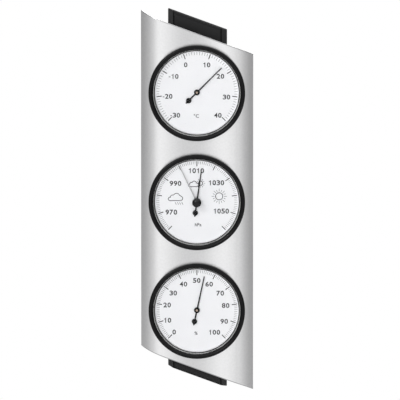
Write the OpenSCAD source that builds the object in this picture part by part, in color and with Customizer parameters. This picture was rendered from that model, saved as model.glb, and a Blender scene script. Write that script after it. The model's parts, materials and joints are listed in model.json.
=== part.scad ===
// Wall weather station: thermometer, barometer and hygrometer, one above the other, in a bent
// metal plate that stands off a black hanging frame.
// Origin: centre of the hanging hole on the wall plane. +X is right, +Z is up, the wall is y = 0
// and the dials look along -Y. Inside dial_space() z is the distance from the wall instead.

/* [Front plate] */
// Width of the bent plate
plate_width = 100; // [97:1:110]
// From an outer dial's axis to the plate's end, on the middle line
plate_end_margin = 53; // [49:0.5:66]
// Thickness of the sheet
plate_thickness = 1; // [0.8:0.1:1.5]
// Outer radius of the two bends
plate_bend_radius = 27; // [25.5:0.5:29]
// Angle that each side of the plate is bent back
plate_bend_angle = 56; // [46:1:60]
// Slant of the ends, along the sheet
plate_slant = 20; // [0:1:23]
// Gap between a case and its hole in the plate
plate_hole_gap = 0.6; // [0.3:0.1:1]

/* [Hanging frame] */
// Width of the frame at the wall
frame_width = 52.5; // [50:0.5:58]
// Depth of the frame
frame_depth = 11; // [10.5:0.5:14]
// Wall of the frame
frame_wall = 2; // [1.6:0.1:2.2]
// Width of each slanted side, seen from the front
frame_lean_width = 4.6; // [3:0.1:5]
// Depth of each slanted side
frame_lean_depth = 7; // [5:0.1:8]
// How far the frame stands out past the ends of the plate
frame_reach = 10.3; // [8:0.1:20]

/* [Hanger] */
// How far the hanging hole lies below the plate's upper end, on the middle line
hanger_drop = 11; // [9:0.5:12]
// Radius of the hanging hole
hanger_hole_radius = 4.5; // [4:0.1:5]
// Half the width of the keyhole's slot
hanger_slot_radius = 2.25; // [2:0.05:2.5]
// Height of the slot's end above the hole's centre
hanger_slot_rise = 6; // [5:0.5:7]
// Thickness of the bridge with the keyhole
hanger_thickness = 2; // [1.5:0.1:2.5]
// Metal below the hole's edge and above the slot's end
hanger_margin = 3.5; // [2:0.5:4]

/* [Instrument cases] */
// Distance from one dial to the next
dial_pitch = 98; // [94:0.5:100]
// Outer radius of a case
case_radius = 39.4; // [39:0.1:39.8]
// Depth of a case from its floor to the plate
case_depth = 21; // [20.5:0.5:24]
// Wall of a case
case_wall = 1.4; // [1:0.1:1.5]
// Thickness of the case floor
case_floor = 1.5; // [1.3:0.1:1.8]
// Radius of the rounded edge of the floor
case_round = 2.5; // [1.6:0.1:3]
// How far the flange that rests on the plate stands out from the case
flange_width = 2.4; // [2.1:0.1:2.6]
// Thickness of that flange
flange_thickness = 1; // [0.8:0.1:1.2]
// Width of the ledge that carries the dial
ledge_width = 1.6; // [1:0.1:2]
// Height of that ledge
ledge_height = 1.5; // [1:0.1:2]
// Radius of the vent holes in the floor
vent_radius = 1.5; // [1:0.1:2]

/* [Bezel and glass] */
// Wall of a bezel's skirt
bezel_wall = 1.2; // [1:0.1:2]
// How far the opening in a bezel is wider than the inside of the case
bezel_opening_gap = 0.6; // [0.4:0.1:0.9]
// How far a bezel stands above its glass
bezel_height = 2.4; // [2.2:0.1:3]
// Radius of the rounded outer edge of a bezel
bezel_round = 1.7; // [1.2:0.1:1.8]
// Slope of the inner face of a bezel
bezel_slope = 38; // [30:1:45]
// Thickness of a glass
glass_thickness = 1.5; // [1.2:0.1:2]
// Gap around a glass inside its bezel
glass_gap = 0.3; // [0.1:0.1:0.5]
// Thickness of the seal under a glass
seal_thickness = 0.3; // [0.2:0.1:0.6]

/* [Dials and pointers] */
// Room between dial and seal for the pointers
pointer_room = 4.2; // [4.2:0.1:6]
// Thickness of a dial
dial_thickness = 0.8; // [0.5:0.1:1]
// Radius of the hole in the middle of a dial
dial_hole_radius = 1.6; // [1.2:0.1:2]
// Gap around a dial inside its case
dial_gap = 0.2; // [0.1:0.1:0.4]
// Wall of the black ring between dial and glass, at the dial
spacer_foot = 0.95; // [0.6:0.05:1.2]
// Wall of that ring at the glass
spacer_rim = 0.35; // [0.25:0.05:0.5]
// Length of a pointer from its axis to the tip
pointer_length = 31.2; // [28:0.1:33]
// Length of the barometer's pointer
barometer_pointer_length = 28.6; // [26:0.1:33]
// Width of a pointer at its root
pointer_root = 1.3; // [1:0.1:1.6]
// Width of a pointer at its tip
pointer_tip = 0.75; // [0.6:0.05:0.9]
// Distance from the axis to the disc on the tail
tail_reach = 10.3; // [9:0.1:12]
// Radius of the disc on the tail
tail_radius = 2.4; // [1.8:0.1:2.6]
// Distance from the axis to the point of the tail
tail_point = 14; // [13:0.1:15]
// Radius of a pointer's hub
hub_radius = 2.6; // [2.2:0.1:3]
// Gap between a dial and a pointer's hub
hub_rise = 0.5; // [0.4:0.05:0.6]
// Height of a pointer's hub
hub_height = 1.5; // [1.4:0.05:1.6]
// Gap between a dial and a pointer's sheet
needle_rise = 1.2; // [1:0.05:1.4]
// Thickness of a pointer's sheet
pointer_thickness = 0.4; // [0.3:0.05:0.5]
// Angle that each scale covers
scale_sweep = 270; // [260:5:280]
// Temperature that the pointer shows
thermometer_reading = 16.6; // [-30:0.1:40]
// Pressure that the pointer shows
barometer_reading = 1013; // [960:1:1060]
// Humidity that the pointer shows
hygrometer_reading = 54.5; // [0:0.5:100]
// Pressure that the set hand is left on
set_reading = 1000.4; // [960:0.1:1060]

/* [Set hand] */
// Gap between the set hand's tip and the black ring
set_hand_gap = 0.85; // [0.5:0.05:3]
// How far the set hand's back lies behind the case's rim
set_hand_drop = 0.9; // [0.8:0.05:1]
// Thickness of the set hand
set_hand_thickness = 0.35; // [0.2:0.05:0.4]
// Radius of the knob
set_knob_radius = 4.05; // [3.5:0.05:5]
// Height of the knob above the glass
set_knob_height = 5; // [4:0.1:7]
// Radius of the knob's stem
set_stem_radius = 1.5; // [1.2:0.1:1.7]

/* [Fasteners] */
// Radius of a plate stud
stud_radius = 1.5; // [1.25:0.05:1.6]
// Distance of the studs from the edges of the frame's front
stud_margin = 6.65; // [6:0.05:9]
// Outer radius of a stand-off sleeve
sleeve_radius = 3.5; // [3:0.1:4]
// Width of a stud's nut across its flats
nut_width = 5.5; // [5:0.1:6]
// Height of that nut
nut_height = 2.4; // [2:0.1:2.4]
// Radius of a washer
washer_radius = 3.5; // [3.4:0.1:3.8]
// Thickness of a washer
washer_thickness = 0.5; // [0.4:0.1:0.6]
// Radius of a case screw
case_screw_radius = 1.25; // [1:0.05:1.4]
// Radius of a case screw's head
case_screw_head = 2.4; // [2.2:0.1:2.6]
// Radius of the boss that takes a case screw
boss_radius = 2.6; // [2.3:0.1:2.7]
// Height of that boss above the case floor
boss_height = 4; // [3.5:0.1:5]
// Radius of a movement screw
small_screw_radius = 0.95; // [0.8:0.05:1]
// Radius of a movement screw's head
small_screw_head = 1.9; // [1.7:0.1:2]

/* [Arbors and spirals] */
// Radius of a pointer's arbor
arbor_radius = 0.7; // [0.6:0.05:0.8]
// Running clearance of every arbor and shaft
running_gap = 0.05; // [0.03:0.01:0.08]
// Play between an arbor's shoulder and its bush
end_play = 0.1; // [0.05:0.01:0.15]
// Radius of the collar that takes a spiral's inner end
collar_radius = 1.4; // [1.2:0.1:1.6]
// Thickness of a bridge
bridge_thickness = 1; // [0.8:0.1:1]
// Gap between a bridge and the dial
bridge_gap = 1.4; // [1.3:0.1:1.6]
// Width of a bridge
bridge_width = 8; // [6:0.5:9]
// Distance from the axis to a bridge's legs
bridge_reach = 19.5; // [18:0.5:20]
// Outer radius of the two measuring spirals
spiral_radius = 10.5; // [9:0.1:11]
// Height of the thermometer's spiral
bimetal_height = 5; // [4:0.1:6]
// Thickness of the thermometer's spiral
bimetal_thickness = 0.5; // [0.3:0.05:0.6]
// Height of the hygrometer's spiral
hygro_height = 6; // [5:0.1:6.5]
// Thickness of the hygrometer's spiral
hygro_thickness = 0.35; // [0.25:0.05:0.5]

/* [Barometer movement] */
// Module of the gear teeth
gear_module = 0.5; // [0.5:0.01:0.52]
// Distance of the rocking shaft below the pointer's axis
shaft_drop = 8.9; // [8.7:0.1:9.3]
// Radius of the rocking shaft
shaft_radius = 0.8; // [0.7:0.05:0.9]
// Height of the rocking shaft above the movement plate
shaft_height = 6.5; // [6.4:0.1:6.6]
// Radius of the capsule
capsule_radius = 17; // [15:0.1:17]
// Thickness of the capsule
capsule_thickness = 4; // [3.5:0.1:4]
// Distance of the capsule's axis right of the pointer's axis
capsule_shift = 2; // [1:0.1:2.5]
// Arm of the rocking shaft over the capsule
short_arm = 2.87; // [2.5:0.01:3]
// Thickness of the movement plate
movement_plate_thickness = 1; // [0.8:0.1:1]
// Radius of the movement plate
movement_plate_radius = 30.5; // [30:0.1:31]
// How far the rear cock's upright stands from the pointer's axis
cock_wall_reach = 8.6; // [8.2:0.1:9]
// From that upright to the rear cock's screw
cock_screw_reach = 3.6; // [3.4:0.1:4]
// Radius of the bridge's pillars
pillar_radius = 1.8; // [1.5:0.1:2]
// Outer radius of the hairspring
hairspring_radius = 5.2; // [4.5:0.1:5.5]

/* [Hidden] */
$fn = 96;
slip = 0.01;
cut = 1;

plate_height = 2 * (dial_pitch + plate_end_margin);
plate_front = frame_depth + case_depth;
plate_back = plate_front - plate_thickness;
flat_half = plate_width / 2 - plate_bend_radius * sin(plate_bend_angle);
middle_rise = hanger_drop - plate_height / 2;
dial_rises = [middle_rise + dial_pitch, middle_rise, middle_rise - dial_pitch];

floor_front = frame_depth + case_floor;
case_inside = case_radius - case_wall;
flange_radius = case_radius + flange_width;
bezel_radius = flange_radius + bezel_wall;
bezel_opening = case_inside + bezel_opening_gap;
flange_front = plate_front + flange_thickness;
seal_front = flange_front + seal_thickness;
glass_front = seal_front + glass_thickness;
bezel_front = glass_front + bezel_height;
glass_radius = flange_radius - glass_gap;
dial_front = flange_front - pointer_room;
dial_back = dial_front - dial_thickness;
bridge_front = dial_back - bridge_gap;
bridge_back = bridge_front - bridge_thickness;
needle_back = dial_front + needle_rise;
hub_back = dial_front + hub_rise;
hub_front = hub_back + hub_height;
set_hand_back = flange_front - set_hand_drop;
set_hand_length = case_inside - dial_gap - spacer_foot - set_hand_gap;
glass_clearance = 0.15;

thermometer_scale = [-30, 40];
barometer_scale = [960, 1060];
hygrometer_scale = [0, 100];

hole_gap = 0.1;
stud_offset = frame_width / 2 - frame_lean_width - stud_margin;
case_screw_places = [[-14, 24], [14, 24], [0, -32]];
frame_front_inside = frame_depth - frame_wall;
washer_back = frame_front_inside - washer_thickness;
nut_back = washer_back - nut_height;
stud_end = nut_back - 0.5;
foot_screw_depth = 1.2;
foot_screw_grip = foot_screw_depth - 0.1;
boss_cap = 0.8;
bridge_foot = 6;
bridge_screw_places = [
  [0, bridge_reach + bridge_foot / 2], [0, -bridge_reach - bridge_foot / 2]];
post_radius = 0.8;
bimetal_post_place = [-spiral_radius - bimetal_thickness / 2 - post_radius - slip, 0];
hygro_post_place = [-spiral_radius - hygro_thickness / 2 - post_radius - slip, 0];
post_overhang = 0.4;
spiral_lift = 2.6;
spiral_back = floor_front + spiral_lift;
bush_wall = 1;
bush_flange = 0.5;
front_bush_radius = arbor_radius + running_gap + bush_wall;
rear_bush_radius = front_bush_radius + 0.3;
front_bush_back = bridge_back - 0.3;
rear_bush_front = floor_front + 1.5;
screw_head_height = 1.1;
adjuster_radius = 3;
adjuster_flange = 4.5;
adjuster_flange_thickness = 0.8;
access_radius = 3.6;
driven_back = frame_depth - frame_wall / 2;

pinion_teeth = 12;
sector_teeth = 96;
pressure_angle = 20;
tooth_play = 0.02;
movement_front = floor_front + movement_plate_thickness;
shaft_level = movement_front + shaft_height;
mesh_distance = gear_module * (pinion_teeth + sector_teeth) / 2;
pin_clearance = 0.1;
pin_radius = 0.4;
arm_thickness = 0.8;
pin_arm = 3;
pivot_drop = shaft_drop - pin_radius - pin_clearance - arm_thickness / 2;
pivot_shift = sqrt(pow(mesh_distance, 2) - pow(pivot_drop, 2));
sector_place = [-pivot_shift, -pivot_drop];
sector_heading = atan2(pivot_drop, pivot_shift);
capsule_place = [capsule_shift, -shaft_drop - short_arm];
capsule_back = movement_front + 0.9;
capsule_front = capsule_back + capsule_thickness;
cock_front = shaft_level + 0.4;
cock_thickness = 1;
cock_foot = 6;
cock_screw_place = [0, cock_wall_reach + cock_screw_reach];
shaft_arm_half = 0.45;
post_tip = shaft_level - shaft_arm_half - pin_clearance;
capsule_post_radius = 1.2;
post_cone = 0.6;
lever_back = movement_front + 0.15;
pinion_hub = 1.2;
arbor_shoulder = 0.9;
driver_half = 0.4;
pinion_back = cock_front + 1.2;
pinion_width = 1.4;
sector_back = pinion_back + 0.2;
sector_thickness = 1;
hairspring_back = pinion_back + pinion_width + 0.25;
hairspring_height = 0.45;
pillar_places = [[-20, 14], [20, 14], [18.2, -22.1]];
pillar_screw_radius = 0.8;
pillar_screw_depth = 3;
movement_screw_places = [[-24.9, 9.1], [24.9, 9.1], [-15.2, -21.7]];
lug_reach = 20.6;
sector_pivot_radius = 0.6;

// Turns an instrument's own space into the part's frame: x right, y up, z away from the wall.
module dial_space(rise) {
  translate([0, 0, rise]) rotate([90, 0, 0]) children();
}

// A round piece from one distance from the wall to another.
module disc(radius, from, to) {
  translate([0, 0, from]) cylinder(r = radius, h = to - from);
}

// A flat strip from one place to another.
module strip(a, b, width, from, to) {
  translate(concat(a, from)) rotate(atan2(b[1] - a[1], b[0] - a[0]))
    translate([0, -width / 2, 0]) cube([norm(b - a), width, to - from]);
}

// A strip with round ends.
module bar(a, b, width, from, to) {
  strip(a, b, width, from, to);
  translate(a) disc(width / 2, from, to);
  translate(b) disc(width / 2, from, to);
}

// A pan head screw whose head rests at a level and whose shank runs towards the wall or from it.
module screw(radius, head, head_height, seat, length, inward) {
  side = inward ? -1 : 1;
  difference() {
    union() {
      translate([0, 0, seat + (inward ? -length : 0)]) cylinder(r = radius, h = length);
      translate([0, 0, seat - (inward ? 0 : head_height)]) cylinder(r = head, h = head_height);
    }
    slot_depth = head_height / 2;
    outer_face = seat - side * head_height;
    translate([-head * 2, -head / 6, min(outer_face, outer_face + side * slot_depth)
      - (inward ? 0 : cut)]) cube([head * 4, head / 3, slot_depth + cut]);
  }
}

// The slot of a part that is turned through the frame's access hole.
module driver_slot() {
  translate([-access_radius, -driver_half, driven_back - cut])
    cube([2 * access_radius, 2 * driver_half, cut + 2 * driver_half]);
}

// Front plate

// Distance along the sheet from the middle line to a place at x.
function along_sheet(x) = abs(x) <= flat_half ? x
  : sign(x) * (flat_half + plate_bend_radius * PI / 180
      * asin(min(1, (abs(x) - flat_half) / plate_bend_radius)));
function plate_end(x) = -tan(plate_slant) * along_sheet(x);

module plate_outline() {
  bend_steps = 12;
  reach = plate_width / 2 + 0.3;
  stations = concat(
    [for (i = [0:bend_steps]) -reach + (reach - flat_half) * i / bend_steps],
    [for (i = [0:bend_steps]) flat_half + (reach - flat_half) * i / bend_steps]);
  top = [for (x = stations) [x, middle_rise + plate_height / 2 + plate_end(x)]];
  bottom = [for (i = [len(stations) - 1:-1:0])
    [stations[i], middle_rise - plate_height / 2 + plate_end(stations[i])]];
  polygon(concat(top, bottom));
}

module bent_sheet() {
  half = plate_height / 2 + plate_width;
  translate([0, 0, middle_rise - half]) {
    translate([-flat_half, -plate_front, 0]) cube([2 * flat_half, plate_thickness, 2 * half]);
    for (side = [0, 1]) mirror([side, 0, 0])
      translate([flat_half, plate_bend_radius - plate_front, 0]) rotate([0, 0, -90])
        rotate_extrude(angle = plate_bend_angle)
          translate([plate_bend_radius - plate_thickness, 0]) square([plate_thickness, 2 * half]);
  }
}

module front_plate() {
  color("silver") difference() {
    intersection() {
      bent_sheet();
      rotate([90, 0, 0]) linear_extrude(plate_front + cut) plate_outline();
    }
    for (rise = dial_rises) dial_space(rise)
      disc(case_radius + plate_hole_gap, frame_depth, plate_front + cut);
  }
}

// Hanging frame

// The frame's right half, from the wall to the front, set in by a wall's thickness.
function frame_corners(inset) = let (
    lean = atan(frame_lean_width / frame_lean_depth), half = frame_width / 2)
  [[half - inset, 0],
    [half - inset, frame_depth - frame_lean_depth - inset * tan(lean / 2)],
    [half - frame_lean_width - inset * tan((90 - lean) / 2), frame_depth - inset]];

// Points on both sides of the middle line, right side first.
function both_sides(points) = concat(points,
  [for (i = [len(points) - 1:-1:0]) [-points[i][0], points[i][1]]]);

// Runs a section in x and distance from the wall along the frame, between its slanted ends.
module frame_run(inset) {
  end = plate_height / 2 + frame_reach - inset / cos(plate_slant);
  side = frame_width;
  slope = tan(plate_slant) * side;
  intersection() {
    translate([0, 0, middle_rise - plate_height]) linear_extrude(2 * plate_height)
      mirror([0, 1]) children();
    translate([0, cut, 0]) rotate([90, 0, 0]) linear_extrude(frame_depth + 2 * cut)
      translate([0, middle_rise]) polygon([[-side, end + slope], [side, end - slope],
        [side, -end - slope], [-side, -end + slope]]);
  }
}

// Flat front of the frame, with the holes that the screws and studs pass through.
module frame_front() {
  outer = frame_corners(0)[2];
  inner = frame_corners(frame_wall)[2];
  color([0.12, 0.12, 0.13]) difference() {
    frame_run(0) polygon([outer, inner, [-inner[0], inner[1]], [-outer[0], outer[1]]]);
    for (rise = dial_rises) dial_space(rise)
      for (place = case_screw_places) translate(place)
        disc(case_screw_radius + hole_gap, frame_front_inside - cut, frame_depth + cut);
    at_studs() disc(stud_radius + hole_gap, frame_front_inside - cut, frame_depth + cut);
    dial_space(dial_rises[1]) translate(capsule_place)
      disc(access_radius, frame_front_inside - cut, frame_depth + cut);
    dial_space(dial_rises[2]) disc(access_radius, frame_front_inside - cut, frame_depth + cut);
  }
}

// The two bent sides, each from the wall to the front's edge.
module frame_sides() {
  outer = frame_corners(0);
  inner = frame_corners(frame_wall);
  color([0.12, 0.12, 0.13]) frame_run(0) for (side = [0, 1]) mirror([side, 0])
    polygon([outer[0], outer[1], outer[2], inner[2], inner[1], inner[0]]);
}

// Closes the two slanted ends.
module frame_ends() {
  inner = both_sides(frame_corners(frame_wall));
  color([0.12, 0.12, 0.13]) difference() {
    frame_run(0) polygon(inner);
    frame_run(frame_wall) polygon([[-frame_width, -cut], [frame_width, -cut],
      [frame_width, frame_depth], [-frame_width, frame_depth]]);
  }
}

module hanger_bridge() {
  low = -hanger_hole_radius - hanger_margin;
  high = hanger_slot_rise + hanger_slot_radius + hanger_margin;
  half = frame_corners(frame_wall)[0][0];
  color([0.12, 0.12, 0.13]) intersection() {
    dial_space(0) difference() {
      translate([-half, low, 0]) cube([2 * half, high - low, hanger_thickness]);
      disc(hanger_hole_radius, -cut, hanger_thickness + cut);
      translate([0, hanger_slot_rise, 0]) disc(hanger_slot_radius, -cut, hanger_thickness + cut);
      translate([-hanger_slot_radius, 0, -cut])
        cube([2 * hanger_slot_radius, hanger_slot_rise, hanger_thickness + 2 * cut]);
    }
    frame_run(frame_wall) polygon([[-half, 0], [half, 0], [half, frame_depth], [-half, frame_depth]]);
  }
}

// Studs, sleeves and screws of the carrier

module at_studs() {
  dial_space(middle_rise)
    for (x = [-stud_offset, stud_offset], y = [-dial_pitch / 2, dial_pitch / 2])
      translate([x, y, 0]) children();
}

module plate_studs() {
  color("silver") at_studs() disc(stud_radius, stud_end, plate_back);
}

module stand_off_sleeves() {
  color([0.2, 0.2, 0.21]) at_studs() difference() {
    disc(sleeve_radius, frame_depth, plate_back);
    disc(stud_radius + hole_gap, frame_depth - cut, plate_back + cut);
  }
}

module stud_washers() {
  color("silver") at_studs() difference() {
    disc(washer_radius, washer_back, frame_front_inside);
    disc(stud_radius + hole_gap, washer_back - cut, frame_front_inside + cut);
  }
}

module stud_nuts() {
  color("silver") at_studs() difference() {
    translate([0, 0, nut_back]) cylinder(d = nut_width / cos(30), h = nut_height, $fn = 6);
    disc(stud_radius + slip, nut_back - cut, washer_back + cut);
  }
}

module case_screws() {
  length = frame_wall + case_floor + boss_height - boss_cap - 0.2;
  color("dimgray") for (rise = dial_rises) dial_space(rise)
    for (place = case_screw_places) translate(place)
      screw(case_screw_radius, case_screw_head, screw_head_height, frame_front_inside, length, false);
}

// Instrument cases, bezels and glasses

module case_section() {
  difference() {
    union() {
      translate([0, frame_depth + case_round]) square([case_radius, case_depth - case_round]);
      translate([0, frame_depth]) square([case_radius - case_round, case_depth]);
      translate([case_radius - case_round, frame_depth + case_round]) circle(r = case_round);
      translate([0, plate_front]) square([flange_radius, flange_thickness]);
    }
    translate([0, floor_front]) square([case_inside, case_depth + flange_thickness + cut]);
    translate([-case_radius, frame_depth - cut]) square([case_radius, case_depth + 2 * cut]);
  }
  translate([case_inside - ledge_width, dial_back - ledge_height])
    square([ledge_width + case_wall / 2, ledge_height]);
}

// The case of any of the instruments, before its own holes.
module case_body() {
  vent_reach = 32.5;
  difference() {
    union() {
      rotate_extrude() case_section();
      for (place = case_screw_places) translate(place)
        disc(boss_radius, floor_front - slip, floor_front + boss_height);
    }
    for (place = case_screw_places) translate(place)
      disc(case_screw_radius, frame_depth - cut, floor_front + boss_height - boss_cap);
    for (side = [0, 180], turn = [-16, 0, 16]) rotate(side + turn) translate([vent_reach, 0, 0])
      disc(vent_radius, frame_depth - cut, floor_front + cut);
  }
}

module foot_screw_holes(places) {
  for (place = places) translate(place)
    disc(small_screw_radius, floor_front - foot_screw_depth, floor_front + cut);
}

module thermometer_case() {
  color([0.13, 0.13, 0.14]) dial_space(dial_rises[0]) difference() {
    case_body();
    foot_screw_holes(bridge_screw_places);
    disc(rear_bush_radius, frame_depth - cut, floor_front + cut);
    translate(bimetal_post_place) disc(post_radius, frame_depth - cut, floor_front + cut);
  }
}

module barometer_case() {
  color([0.13, 0.13, 0.14]) dial_space(dial_rises[1]) difference() {
    case_body();
    foot_screw_holes(movement_screw_places);
    foot_screw_holes([cock_screw_place]);
    translate(capsule_place) disc(adjuster_radius + 3 * hole_gap, frame_depth - cut, floor_front + cut);
  }
}

module hygrometer_case() {
  color([0.13, 0.13, 0.14]) dial_space(dial_rises[2]) difference() {
    case_body();
    foot_screw_holes(bridge_screw_places);
    disc(adjuster_radius + running_gap, frame_depth - cut, floor_front + cut);
  }
}

// Section of a bezel: skirt over the flange, rounded outer edge and a slope down to the glass.
module bezel_section() {
  crown = [bezel_radius - bezel_round, bezel_front - bezel_round];
  crest = crown + bezel_round * [-sin(bezel_slope), cos(bezel_slope)];
  lip = crest[1] - (crest[0] - bezel_opening) * tan(bezel_slope);
  translate([flange_radius + slip, plate_front])
    square([bezel_wall - slip, crown[1] - plate_front]);
  intersection() {
    translate(crown) circle(r = bezel_round);
    translate([bezel_opening, glass_front]) square([bezel_radius, bezel_height]);
  }
  polygon([[bezel_opening, glass_front], [bezel_radius - bezel_wall / 2, glass_front],
    [bezel_radius - bezel_wall / 2, crown[1]], crown, crest, [bezel_opening, lip]]);
}

module bezel(rise) {
  color([0.05, 0.05, 0.055]) dial_space(rise) rotate_extrude() bezel_section();
}

module glass(rise, bore) {
  color([0.85, 0.93, 0.95, 0.3]) dial_space(rise) difference() {
    disc(glass_radius, seal_front, glass_front);
    if (bore > 0) disc(bore, seal_front - cut, glass_front + cut);
  }
}

module glass_seal(rise) {
  color([0.85, 0.85, 0.83]) dial_space(rise) difference() {
    disc(glass_radius, flange_front, seal_front);
    disc(case_inside, flange_front - cut, seal_front + cut);
  }
}

module spacer_ring(rise) {
  outside = case_inside - dial_gap;
  color([0.06, 0.06, 0.06]) dial_space(rise) rotate_extrude() polygon([
    [outside - spacer_foot, dial_front], [outside, dial_front], [outside, flange_front],
    [outside - spacer_rim, flange_front]]);
}

module dial(rise) {
  color([0.95, 0.95, 0.96]) dial_space(rise) difference() {
    disc(case_inside - dial_gap, dial_back, dial_front);
    disc(dial_hole_radius, dial_back - cut, dial_front + cut);
  }
}

module thermometer_bezel() {
  bezel(dial_rises[0]);
}

module thermometer_glass() {
  glass(dial_rises[0], 0);
}

module thermometer_glass_seal() {
  glass_seal(dial_rises[0]);
}

module thermometer_spacer_ring() {
  spacer_ring(dial_rises[0]);
}

module thermometer_dial() {
  dial(dial_rises[0]);
}

module barometer_bezel() {
  bezel(dial_rises[1]);
}

module barometer_glass() {
  glass(dial_rises[1], set_stem_radius + running_gap);
}

module barometer_glass_seal() {
  glass_seal(dial_rises[1]);
}

module barometer_spacer_ring() {
  spacer_ring(dial_rises[1]);
}

module barometer_dial() {
  dial(dial_rises[1]);
}

module hygrometer_bezel() {
  bezel(dial_rises[2]);
}

module hygrometer_glass() {
  glass(dial_rises[2], 0);
}

module hygrometer_glass_seal() {
  glass_seal(dial_rises[2]);
}

module hygrometer_spacer_ring() {
  spacer_ring(dial_rises[2]);
}

module hygrometer_dial() {
  dial(dial_rises[2]);
}

// Pointers

// Angle clockwise from the top at which a scale shows a value.
function scale_angle(value, scale) = ((value - scale[0]) / (scale[1] - scale[0]) - 0.5) * scale_sweep;

module pointer(rise, angle, length) {
  color([0.06, 0.06, 0.06]) dial_space(rise) rotate(-angle) difference() {
    union() {
      translate([0, 0, needle_back]) linear_extrude(pointer_thickness) {
        polygon([[-pointer_root / 2, 0], [pointer_root / 2, 0],
          [pointer_tip / 2, length], [-pointer_tip / 2, length]]);
        translate([-pointer_root / 2, -tail_reach]) square([pointer_root, tail_reach]);
        translate([0, -tail_reach]) circle(r = tail_radius);
        polygon([[-tail_radius * 0.8, -tail_reach - tail_radius * 0.6],
          [tail_radius * 0.8, -tail_reach - tail_radius * 0.6], [0.2, -tail_point],
          [-0.2, -tail_point]]);
      }
      disc(hub_radius, hub_back, hub_front);
    }
    disc(arbor_radius + slip, hub_back - cut, hub_front + cut);
  }
}

module thermometer_pointer() {
  pointer(dial_rises[0], scale_angle(thermometer_reading, thermometer_scale),
    pointer_length);
}

module barometer_pointer() {
  pointer(dial_rises[1], scale_angle(barometer_reading, barometer_scale),
    barometer_pointer_length);
}

module hygrometer_pointer() {
  pointer(dial_rises[2], scale_angle(hygrometer_reading, hygrometer_scale),
    pointer_length);
}

// An arbor with a collar between its bushes and a rounded end that shows in the hub.
module arbor(from, collar_from, collar_to) {
  cap_wall = 0.25;
  cap_height = 0.3;
  disc(arbor_radius, from, hub_front + cap_height / 2);
  disc(collar_radius, collar_from, collar_to);
  disc(arbor_radius + cap_wall, hub_front + slip, hub_front + cap_height);
}

// A flat spiral spring: turns run evenly from the inner to the outer radius.
module spiral(inner, outer, turns, thickness) {
  steps = round(turns * 24);
  edge = function(i, side) (inner + (outer - inner) * i / steps + side * thickness / 2)
    * [cos(360 * turns * i / steps), sin(360 * turns * i / steps)];
  polygon(concat([for (i = [0:steps]) edge(i, 1)], [for (i = [steps:-1:0]) edge(i, -1)]));
}

// A strap over the spiral, with two legs and feet on the case floor.
module spiral_bridge(rise) {
  color("silver") dial_space(rise) difference() {
    union() {
      translate([-bridge_width / 2, -bridge_reach, bridge_back])
        cube([bridge_width, 2 * bridge_reach, bridge_thickness]);
      for (side = [0, 1]) mirror([0, side, 0]) {
        translate([-bridge_width / 2, bridge_reach - bridge_thickness, floor_front])
          cube([bridge_width, bridge_thickness, bridge_front - floor_front]);
        translate([-bridge_width / 2, bridge_reach - bridge_thickness, floor_front])
          cube([bridge_width, bridge_foot + bridge_thickness, bridge_thickness]);
      }
    }
    disc(front_bush_radius, bridge_back - cut, bridge_front + cut);
    for (place = bridge_screw_places) translate(place)
      disc(small_screw_radius + hole_gap, floor_front - cut, floor_front + bridge_thickness + cut);
  }
}

module thermometer_bridge() {
  spiral_bridge(dial_rises[0]);
}

module hygrometer_bridge() {
  spiral_bridge(dial_rises[2]);
}

// A flanged bush for a pointer's arbor.
module bush(radius, from, to, flange_from) {
  difference() {
    union() {
      disc(radius, from, to);
      disc(radius + 0.9, flange_from, flange_from + bush_flange);
    }
    disc(arbor_radius + running_gap, from - cut, to + cut);
  }
}

module pivot_bushes() {
  color("goldenrod") {
    for (rise = dial_rises) dial_space(rise)
      bush(front_bush_radius, front_bush_back, bridge_front + bush_flange, bridge_front);
    dial_space(dial_rises[0])
      bush(rear_bush_radius, frame_depth + 0.1, rear_bush_front, floor_front);
    dial_space(dial_rises[1])
      bush(front_bush_radius, cock_front - cock_thickness - 0.2, cock_front + bush_flange, cock_front);
  }
}

module movement_screws() {
  color("goldenrod") {
    for (rise = [dial_rises[0], dial_rises[2]]) dial_space(rise)
      for (place = bridge_screw_places) translate(place)
        screw(small_screw_radius, small_screw_head, screw_head_height,
          floor_front + bridge_thickness, bridge_thickness + foot_screw_grip, true);
    dial_space(dial_rises[1]) {
      for (place = movement_screw_places) translate(place)
        screw(small_screw_radius, small_screw_head, screw_head_height, movement_front,
          movement_plate_thickness + foot_screw_grip, true);
      translate(cock_screw_place) screw(small_screw_radius, small_screw_head, screw_head_height,
        movement_front + cock_thickness,
        cock_thickness + movement_plate_thickness + foot_screw_grip, true);
    }
  }
}

// Thermometer

module bimetal_spiral() {
  color("peru") dial_space(dial_rises[0]) translate([0, 0, spiral_back])
    linear_extrude(bimetal_height)
      spiral(collar_radius + bimetal_thickness / 2 + slip, spiral_radius, 5.5, bimetal_thickness);
}

module spiral_post() {
  color("silver") dial_space(dial_rises[0]) translate(bimetal_post_place)
    disc(post_radius, frame_depth + 0.2, spiral_back + bimetal_height + post_overhang);
}

module thermometer_arbor() {
  color("goldenrod") dial_space(dial_rises[0])
    arbor(frame_depth + 0.3, rear_bush_front + end_play, front_bush_back - end_play);
}

// Hygrometer

module hygro_spiral() {
  color("burlywood") dial_space(dial_rises[2]) translate([0, 0, spiral_back])
    linear_extrude(hygro_height)
      spiral(collar_radius + hygro_thickness / 2 + slip, spiral_radius, 6.5, hygro_thickness);
}

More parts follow.
